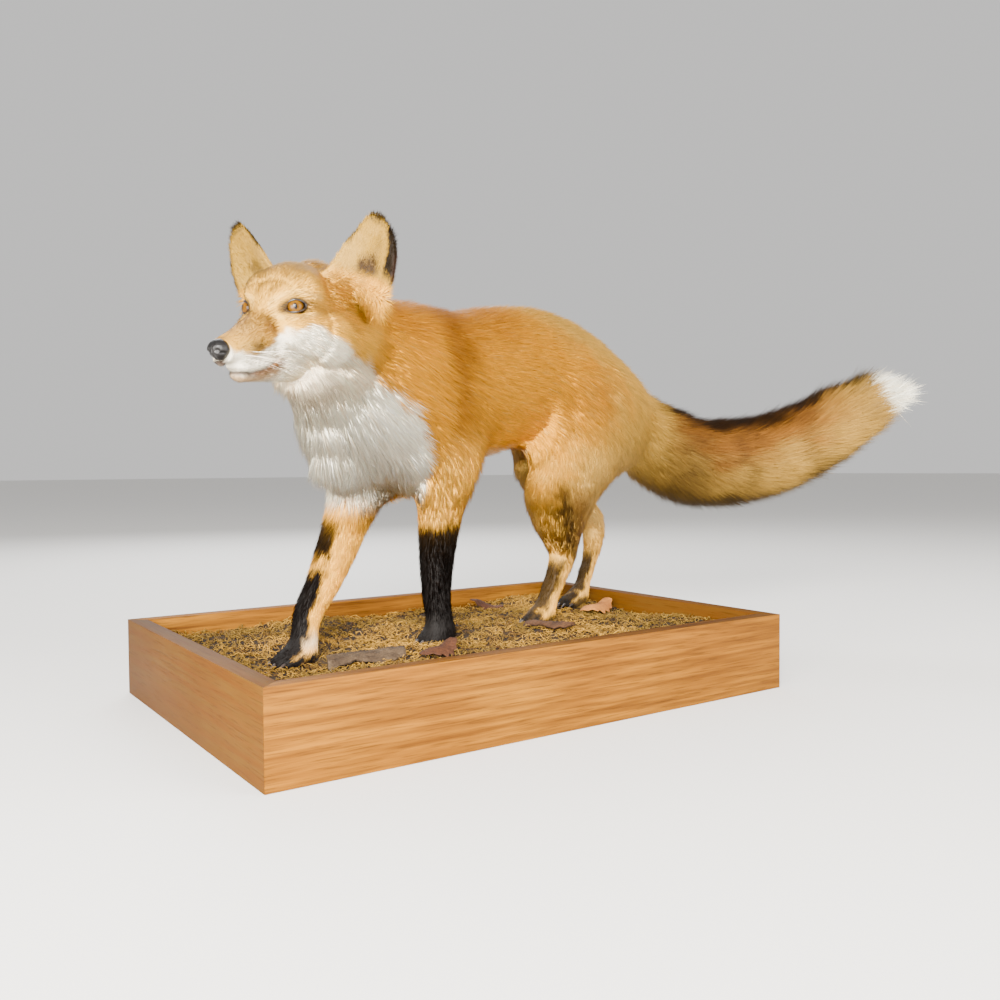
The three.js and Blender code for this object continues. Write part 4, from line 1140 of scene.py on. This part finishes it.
# Skin and coat
def makeSkin():
    skin = joinFlesh()
    sinkSkin(skin)
    refineFace(skin)
    co = readPoints(skin.data)
    h = toLocal(co, headPlace)
    p = toLocal(co, foxPlace)
    body, ears = readBody(p), readEars(co)
    on = body["share"]["head"] * ramp(h[:, 0], -72,
                                      -34) * (1 - ears["share"]) * (body["share"]["head"] > 0.5)
    for _ in range(3):
        gap = headField(p) + body["depth"]
        step = 0.5
        slope = np.stack([headField(p + np.eye(3)[i] * step) - headField(p - np.eye(3)[i] * step)
                          for i in range(3)], 1) / (2 * step)
        p = p - (slope * (np.clip(gap, -6, 6) * on)[:, None])
    writePoints(skin.data, smoothed(toWorld(p, foxPlace), readEdges(skin.data), 2, 0.4 * on))
    shapeFace(skin)
    activate(skin)
    bpy.ops.object.shade_smooth()
    bpy.ops.object.mode_set(mode="EDIT")
    bpy.ops.mesh.select_all(action="SELECT")
    bpy.ops.uv.smart_project(angle_limit=math.radians(66), island_margin=0.002)
    bpy.ops.object.mode_set(mode="OBJECT")
    skin.data.uv_layers.active.name = "OFBake"
    colours = markings(readPoints(skin.data), readNormals(skin.data))[0]
    paintPoints(skin.data, colours * 0.8)
    return finishPiece(skin, materials["skin"], fleshNodes)


skin = makeSkin()
print("skin:", len(skin.data.vertices), "points")
reader = SkinReader(skin)
middleBody = readBody(toLocal(reader.middle, foxPlace))
middleEars = readEars(reader.middle)
for name, spec in coat.items():
    piece = growCoat(reader, middleBody, middleEars, name, spec)
print("coat:", sum(spec["count"] for spec in coat.values()), "locks")


# Eyes, lids, nose, whiskers and claws
def makeEye(name, side, node):
    place = eyePlace(side)
    bpy.ops.mesh.primitive_uv_sphere_add(segments=48, ring_count=24, radius=eyeShape["radius"] * mm)
    eye = bpy.context.active_object
    eye.name = eye.data.name = name
    eye.data.transform(Matrix.Rotation(math.radians(90), 4, "Y"))
    co = readPoints(eye.data)
    bulge = 0.6 * mm * ramp(co[:, 0] / (eyeShape["radius"] * mm), 0.60, 0.95)      # the cornea
    writePoints(eye.data, co + unit(co) * bulge[:, None])
    eye.data.transform(place)
    bpy.ops.object.shade_smooth()
    return finishPiece(eye, materials[name], [node])


lidShape = {"points": 48, "sides": 8, "past": 1.06, "over": 0.7, "thick": 0.75, "upper": 0.5, "tear": 0.25}


def makeLids(name, side):
    # The bare black rim of both lids, drawn out to the tear duct.
    place = eyePlace(side)
    turn = np.linspace(0, 2 * np.pi, lidShape["points"] + 1)[:-1]
    reach = np.array([[np.cos(a), np.sin(a)] for a in turn])
    scale = np.ones(len(turn)) * 8
    for _ in range(30):
        opening = lidOpening(reach[:, 0] * scale, reach[:, 1] * scale, side)
        scale *= 1.0 / np.clip(opening, 0.5, 2) ** 0.5
    y, z = (reach * scale[:, None] * lidShape["past"]).T
    ball = eyeShape["radius"] + lidShape["over"]
    x = np.sqrt(np.maximum(ball**2 - y**2 - z**2, (ball * 0.30) ** 2))
    ring = np.stack([x, y, z], 1)
    inner = ramp(-y * side, 8, 11.5)
    thick = lidShape["thick"] + lidShape["upper"] * (z > 0) * (1 - np.abs(y)
                                                               / 12) + lidShape["tear"] * inner
    ways = unit(np.roll(ring, -1, 0) - np.roll(ring, 1, 0))
    out = unit(ring)
    across = unit(np.cross(ways, out))
    n, sides = len(ring), lidShape["sides"]
    angle = (np.arange(sides) * 2 * np.pi / sides)[:, None]
    wall = across[:, None] * np.cos(angle) + out[:, None] * np.sin(angle) * 0.8
    tube = ring[:, None] + thick[:, None, None] * wall
    faces = []
    for i in range(n):
        for s in range(sides):
            a, b = i * sides + s, i * sides + (s + 1) % sides
            c, d = ((i + 1) % n) * sides + s, ((i + 1) % n) * sides + (s + 1) % sides
            faces += [[a, c, b], [b, c, d]]
    obj = meshFromTriangles(name, toWorld(tube.reshape(-1, 3), place), np.array(faces))
    work = bmesh.new()
    work.from_mesh(obj.data)
    bmesh.ops.recalc_face_normals(work, faces=work.faces)
    work.to_mesh(obj.data)
    work.free()
    return finishPiece(obj, materials["lid"])


noseShape = {"forward": 76, "up": -38, "length": 9, "width": 10.5, "height": 9.5, "nostril": 2.6}


def makeNose():
    bpy.ops.mesh.primitive_ico_sphere_add(subdivisions=5, radius=1)
    nose = bpy.context.active_object
    nose.name = nose.data.name = "noseLeather"
    c = readPoints(nose.data)
    front = ramp(c[:, 0], -0.1, 0.5)
    co = c * [noseShape["length"], noseShape["width"], noseShape["height"]]
    co[:, 1] *= 1 - 0.22 * ramp(-c[:, 2], 0.0, 0.9)                       # narrower below
    co[:, 0] -= 1.2 * ramp(-c[:, 2], 0.2, 0.9) * front
    y, z = np.abs(co[:, 1]), co[:, 2]
    pit = bell(y, 4.6, 2.3) * bell(z + 0.5, 0, 2.0) * front
    comma = bell(y, 7.4, 2.0) * bell(z + 2.6, 0, 1.3) * ramp(c[:, 0], -0.3, 0.2)
    co[:, 0] -= noseShape["nostril"] * np.maximum(pit, 0.8 * comma)
    co[:, 1] -= np.sign(co[:, 1]) * 1.2 * comma
    rim = bell(y, 4.6, 4.2) * bell(z - 0.4, 0, 3.8) * front
    co[:, 0] += 0.9 * rim
    co[:, 0] -= 0.8 * bell(co[:, 1], 0, 0.9) * front * ramp(-z, -2.5, 1)  # middle groove
    co += [noseShape["forward"], 0, noseShape["up"]]
    writePoints(nose.data, toWorld(co, headPlace))
    bpy.ops.object.shade_smooth()
    return finishPiece(nose, materials["nose"], ["nose"])


whiskerShape = {"rows": 3, "inRow": 4, "points": 9, "radius": 0.15, "length": 26, "longer": 8.5,
                "jitter": 5,
                "x": 58, "z": -40, "backStep": 7.5, "downStep": 3.4,
                "pale": (226, 214, 196), "dark": (46, 36, 30)}


def makeWhiskers():
    w, lines, radii, tones = whiskerShape, [], [], []
    t = np.linspace(0, 1, w["points"])[:, None]
    droop = np.array([-0.55, -0.10, -0.28]) * t**2
    for side in (1, -1):
        for row in range(w["rows"]):
            for k in range(w["inRow"]):
                x = w["x"] - w["backStep"] * k - 1.5 * row
                z = w["z"] - w["downStep"] * row - 0.4 * k
                y = np.interp(x, [28, 45, 62], [19.5, 16.0, 13.5])
                length = w["length"] + w["longer"] * k + dice.uniform(-w["jitter"], w["jitter"])
                way = np.array([-0.25 - 0.12 * k, 0.95, 0.10 - 0.16 * row]) + dice.normal(size=3) * 0.06
                line = np.array([x, y - 1.5, z]) + length * (unit(way) * t + droop)
                lines.append(toWorld(line * [1, side, 1], headPlace))
                radii.append(w["radius"] * mm * (1 - 0.75 * t[:-1, 0]))
                tones.append(np.tile(srgb(*w["pale" if (k + row) % 4 else "dark"]), (w["points"], 1)))
    obj = strands("whiskers", np.array(lines), np.array(radii), 4, 1.0, None, np.array(tones))
    return finishPiece(obj, materials["whisker"])


clawShape = {"beside": (-12, -4.5, 4.5, 12), "forward": (0, 7, 7, 0), "length": 11, "radius": 1.9,
             "points": 8,
             "tone": (40, 32, 28)}


def makeClaws():
    lines, radii, tones = [], [], []
    t = np.linspace(0, 1, clawShape["points"])
    for x, y, sole, reach in feet.values():
        for offset, forward in zip(clawShape["beside"], clawShape["forward"]):
            tip = x - reach - forward
            along, down = tip - 4 - clawShape["length"] * t, sole + 10 - 1.5 * t - 6.5 * t**2
            lines.append(toWorld(np.stack([along, np.full(len(t), y + offset), down], 1), foxPlace))
            radii.append(clawShape["radius"] * mm * (1 - t[:-1] ** 1.4 * 0.9))
            tones.append(np.tile(srgb(*clawShape["tone"]), (len(t), 1)) * (1 + 1.2 * t[:, None]))
    obj = strands("claws", np.array(lines), np.array(radii), 8, 0.8, None, np.array(tones))
    return finishPiece(obj, materials["claw"])


makeEye("eyeLeft", 1, "eye_left")
makeEye("eyeRight", -1, "eye_right")
makeLids("lidsLeft", 1)
makeLids("lidsRight", -1)
makeNose()
makeWhiskers()
makeClaws()
print("eyes, nose, whiskers and claws made")


# Tray
tray = {"length": 0.650, "width": 0.444, "board": 0.019, "gap": 0.0003, "edge": 0.0009}


def makeBoard(name, node, turned):
    low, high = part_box(node)
    bpy.ops.mesh.primitive_cube_add(size=1, location=(low + high) / 2, scale=high - low)
    board = bpy.context.active_object
    board.name = board.data.name = name
    bpy.ops.object.transform_apply(location=True, rotation=True, scale=True)
    bpy.ops.object.mode_set(mode="EDIT")
    half = Vector((tray["length"] / 2 - tray["gap"], tray["width"] / 2 - tray["gap"], 0))
    for sx in (1, -1):
        for sy in (1, -1):
            onBoard = (low.y + high.y) * sy > 0 if not turned else (low.x + high.x) * sx > 0
            if not onBoard:
                continue
            corner = Vector((half.x * sx, half.y * sy, 0))
            away = Vector((sx, -sy, 0)) if not turned else Vector((-sx, sy, 0))
            bpy.ops.mesh.select_all(action="SELECT")
            bpy.ops.mesh.bisect(plane_co=corner, plane_no=away, use_fill=True, clear_outer=True)
    bpy.ops.object.mode_set(mode="OBJECT")
    bevel = board.modifiers.new("edges", "BEVEL")
    bevel.width, bevel.segments = tray["edge"], 2
    bpy.ops.object.modifier_apply(modifier=bevel.name)
    activate(board)
    bpy.ops.object.shade_smooth_by_angle(angle=math.radians(30))
    # The end boards get the oak darkened as painted shade.
    return finishPiece(board, materials["oakEndShaded" if turned else "oak"], [node])


boards = {"boardNear": ("board_near", False), "boardFar": ("board_far", False),
          "boardTailEnd": ("board_tail_end", True), "boardHeadEnd": ("board_head_end", True)}
for name, (node, turned) in boards.items():
    makeBoard(name, node, turned)
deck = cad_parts["deck"]
deck.data.materials.clear()
deck.data.materials.append(materials["panel"])
print("tray made")


# Moss
mossShape = {"level": 69, "swell": 5, "dip": 11, "clearance": 0.5, "sunk": 3.0, "cells": (150, 100)}
curlShape = {"count": 4300, "rings": 5, "reach": (302, 199), "length": (9, 24), "radius": (0.35, 0.8),
             "lift": (1.0, 4.5),
             "gold": (158, 116, 34), "olive": (112, 84, 22), "brown": (64, 38, 12)}


def mossHeight(x, y):
    # In millimetres, as the bed in the solids: low mounds and a dip under the reaching forefoot.
    mounds = 0.7 * np.sin(x / 61 + 0.6) * np.cos(y / 47 - 0.4) + 0.45 * np.sin(x / 27 + y / 33)
    dip = np.exp(-(((x + 235) / 75) ** 2) - ((y + 75) / 90) ** 2)
    return mossShape["level"] + mossShape["swell"] * mounds - mossShape["dip"] * dip


def mossLumps(x, y):
    flat = np.stack([x, y, np.zeros_like(x)], 1)
    return 2.6 * wobble(flat, 34, 5) + 1.4 * wobble(flat, 11, 6)


def mossGround(x, y):
    return mossHeight(x, y) + mossLumps(x, y) - mossShape["sunk"]


def makeMossBed():
    halfX = tray["length"] / 2 - tray["board"] - mossShape["clearance"] * mm
    halfY = tray["width"] / 2 - tray["board"] - mossShape["clearance"] * mm
    bpy.ops.mesh.primitive_grid_add(x_subdivisions=mossShape["cells"][0],
                                    y_subdivisions=mossShape["cells"][1], size=2)
    bed = bpy.context.active_object
    bed.name = bed.data.name = "mossBed"
    co = readPoints(bed.data) * [halfX, halfY, 1]
    x, y = co[:, 0] / mm, co[:, 1] / mm
    co[:, 2] = mossGround(x, y) * mm
    writePoints(bed.data, co)
    bpy.ops.object.mode_set(mode="EDIT")
    bpy.ops.mesh.select_all(action="DESELECT")
    bpy.ops.mesh.select_non_manifold()
    bpy.ops.mesh.extrude_region()
    bpy.ops.transform.resize(value=(1, 1, 0))
    bpy.ops.object.mode_set(mode="OBJECT")
    co = readPoints(bed.data)
    picked = np.zeros(len(co), bool)
    bed.data.vertices.foreach_get("select", picked)
    co[picked, 2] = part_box("moss_bed")[0].z
    writePoints(bed.data, co)
    bpy.ops.object.mode_set(mode="EDIT")
    bpy.ops.mesh.edge_face_add()
    bpy.ops.mesh.select_all(action="SELECT")
    bpy.ops.mesh.normals_make_consistent(inside=False)
    bpy.ops.object.mode_set(mode="OBJECT")
    bpy.ops.object.shade_smooth()
    return finishPiece(bed, materials["mossBed"], ["moss_bed"])


def makeMossCurls(name, seed):
    draw = np.random.default_rng(seed)
    count, rings = curlShape["count"], curlShape["rings"]
    reach = np.array(curlShape["reach"])
    x, y = (draw.uniform(-far, far, count) for far in reach)
    length = draw.uniform(*curlShape["length"], count)
    turn = draw.uniform(0, 2 * np.pi, count)
    bend = draw.normal(0, 1.5, count)
    steps = np.zeros((count, rings + 1, 3))
    height = draw.uniform(-1.0, 4.5, count)
    spot = np.stack([x, y], 1)
    for k in range(rings + 1):
        lift = np.sin(k / rings * np.pi) * draw.uniform(*curlShape["lift"], count)
        steps[:, k, :2] = spot
        steps[:, k, 2] = mossGround(*spot.T) + height * 0.6 + lift
        step = (length / rings)[:, None] * np.stack([np.cos(turn), np.sin(turn)], 1)
        spot = np.clip(spot + step, -reach, reach)
        turn = turn + bend + draw.normal(0, 0.35, count)
    t = np.linspace(0, 1, rings + 1)
    radii = draw.uniform(*curlShape["radius"], count)[:, None] * (1 - 0.4 * t[:rings]) * mm
    where = np.stack([x, y, np.zeros(count)], 1)
    patch = ramp(wobble(where, 120, 9), -0.35, 0.45)[:, None]
    gold, olive, brown = (srgb(*curlShape[tone]) for tone in ("gold", "olive", "brown"))
    tone = gold * patch + olive * (1 - patch)
    dark = (ramp(wobble(where, 46, 12), 0.15, 0.6) * 0.6 + 0.4 * (draw.random(count) < 0.18))[:, None]
    tone = (tone * (1 - dark) + brown * dark) * draw.uniform(0.65, 1.25, count)[:, None]
    colours = np.repeat(tone[:, None], rings + 1, axis=1)
    obj = strands(name, steps * mm, radii, 3, 0.8, None, colours)
    return finishPiece(obj, materials["moss"])


makeMossBed()
makeMossCurls("mossCurlsA", 21)
makeMossCurls("mossCurlsB", 22)
print("moss made")


# Bark and leaves lie on the moss.
barkShape = {"slot": "bark", "cells": (60, 26), "leaf": False}
leafShape = {"slot": "leaf", "cells": (46, 26), "leaf": True, "thickness": 1.0}
litter = {
    "barkNear": {**barkShape, "node": "bark_near", "x": -152, "y": -66, "turn": -22, "length": 82,
                 "width": 34,
                 "thickness": 5, "arch": 9, "lift": 4, "tip": 4, "finish": "bark"},
    "barkMid": {**barkShape, "node": "bark_mid", "x": 104, "y": -52, "turn": -62, "length": 62, "width": 18,
                "thickness": 4, "arch": 5, "lift": 5, "tip": 2, "finish": "barkBrown"},
    "leafNear": {**leafShape, "node": "leaf_near", "x": -88, "y": -108, "turn": 20, "length": 52,
                 "width": 30,
                 "arch": 8, "lift": 5, "tip": 10, "finish": "leaf"},
    "leafMid": {**leafShape, "node": "leaf_mid", "x": 148, "y": 152, "turn": -30, "length": 48, "width": 28,
                "arch": 7, "lift": 5, "tip": -12, "finish": "leaf"},
    "leafFar": {**leafShape, "node": "leaf_far", "x": 260, "y": 42, "turn": 15, "length": 64, "width": 32,
                "arch": 9, "lift": 9, "tip": 8, "finish": "leafPale"},
}


def makeLitter(name, one, seed):
    bpy.ops.mesh.primitive_grid_add(x_subdivisions=one["cells"][0], y_subdivisions=one["cells"][1], size=1)
    obj = bpy.context.active_object
    obj.name = obj.data.name = name
    c = readPoints(obj.data)
    u, v = c[:, 0] + 0.5, c[:, 1]
    if one["leaf"]:
        taper = 0.10 + 0.90 * np.sin(np.pi * (0.05 + 0.90 * u)) ** 0.8
        taper *= 1 + 0.10 * np.sin(u * 34)                                    # lobed edge
    else:
        taper = 0.86 + 0.14 * np.cos(u * 9) + 0.05 * np.sin(u * 31)
    across = v * one["width"] * taper
    bend = one["arch"] * (0.5 - (2 * across / one["width"]) ** 2)
    ripple = np.stack([u * one["length"], across, np.full(len(u), seed * 17.0)], 1)
    if one["leaf"]:
        bend = bend + 2 * np.sin(u * 7) + 1.6 * wobble(ripple, 26, seed) * np.abs(v) * 2
        bend -= 0.7 * bell(across, 0, 0.9)                                    # midrib
        bend += 0.35 * np.sin((u * one["length"] - np.abs(across) * 0.9) * 1.1) * (np.abs(v) < 0.46)
    else:
        bend = bend + 1.1 * wobble(ripple * [0.35, 1, 1], 9, seed) + 0.6 * wobble(ripple, 7, seed + 1)
    co = np.stack([(u - 0.5) * one["length"], across, bend], 1)
    place = (Matrix.Translation(Vector((one["x"], one["y"], mossHeight(one["x"], one["y"]) + one["lift"]))
                                * mm)
             @ Matrix.Rotation(math.radians(one["turn"]), 4, "Z")
             @ Matrix.Rotation(math.radians(-one["tip"]), 4, "Y"))
    writePoints(obj.data, toWorld(co, place))
    thick = obj.modifiers.new("thickness", "SOLIDIFY")
    thick.thickness, thick.offset = one["thickness"] * mm, 0
    bpy.ops.object.modifier_apply(modifier=thick.name)
    bpy.ops.object.shade_smooth()
    return finishPiece(obj, materials[one["finish"]], [one["node"]])


for index, (name, one) in enumerate(litter.items()):
    makeLitter(name, one, 30 + index)
print("bark and leaves made")


# Floor, light and camera
def makeFloor():
    bpy.ops.mesh.primitive_plane_add(size=60, location=(0, 0, -0.0005))
    floor = bpy.context.active_object
    floor.name = "floor"
    floor.data.materials.append(newMaterial("floor", 0.8, 0.1, **{"Base Color": (0.72, 0.71, 0.69, 1)})[0])


lights = {
    "key": {"spot": (-1.5, -2.1, 1.05), "target": (-0.05, 0, 0.27), "size": 1.0, "power": 370,
            "tone": (1.0, 0.97, 0.92)},
    "fill": {"spot": (1.4, -2.1, 0.8), "target": (0.1, 0, 0.25), "size": 2.0, "power": 130,
             "tone": (1.0, 0.97, 0.93)},
    "low": {"spot": (-1.8, -1.2, 0.35), "target": (-0.1, 0, 0.30), "size": 1.2, "power": 190,
            "tone": (1.0, 0.95, 0.88)},
    "rim": {"spot": (0.6, 2.0, 1.8), "target": (0.1, 0, 0.3), "size": 1.6, "power": 80, "tone": (1, 1, 1)},
}


def makeLight(name, spot, target, size, power, tone):
    light = bpy.data.lights.new(name, "AREA")
    light.size, light.energy, light.color = size, power, tone
    obj = bpy.data.objects.new(name, light)
    obj.location = spot
    obj.rotation_euler = (Vector(target) - Vector(spot)).to_track_quat("-Z", "Y").to_euler()
    bpy.context.scene.collection.objects.link(obj)


def makeWorld():
    world = bpy.data.worlds.new("studio")
    world.use_nodes = True
    background = world.node_tree.nodes["Background"]
    background.inputs["Color"].default_value = (0.80, 0.79, 0.78, 1)
    background.inputs["Strength"].default_value = 0.95
    bpy.context.scene.world = world


# Metres and degrees; the lens is in widths of the sensor.
cameraSpot = {"place": (-0.60575, -0.96837, 0.26777), "turn": -34.81, "pitch": 1.919, "roll": -0.371,
              "sensor": 36, "lens": 0.94966}


def makeCamera():
    data = bpy.data.cameras.new("camera")
    data.sensor_width, data.lens = cameraSpot["sensor"], cameraSpot["sensor"] * cameraSpot["lens"]
    camera = bpy.data.objects.new("camera", data)
    bpy.context.scene.collection.objects.link(camera)
    turn, pitch, roll = (math.radians(cameraSpot[way]) for way in ("turn", "pitch", "roll"))
    forward = Vector((-math.sin(turn) * math.cos(pitch), math.cos(turn) * math.cos(pitch),
                      -math.sin(pitch)))
    right = Vector((math.cos(turn), math.sin(turn), 0))
    up = right.cross(forward)
    right, up = math.cos(roll) * right + math.sin(roll) * up, -math.sin(roll) * right + math.cos(roll) * up
    camera.matrix_world = Matrix((right, up, -forward)).transposed().to_4x4()
    camera.location = cameraSpot["place"]
    bpy.context.scene.camera = camera


makeFloor()
makeWorld()
for name, light in lights.items():
    makeLight(name, **light)
makeCamera()
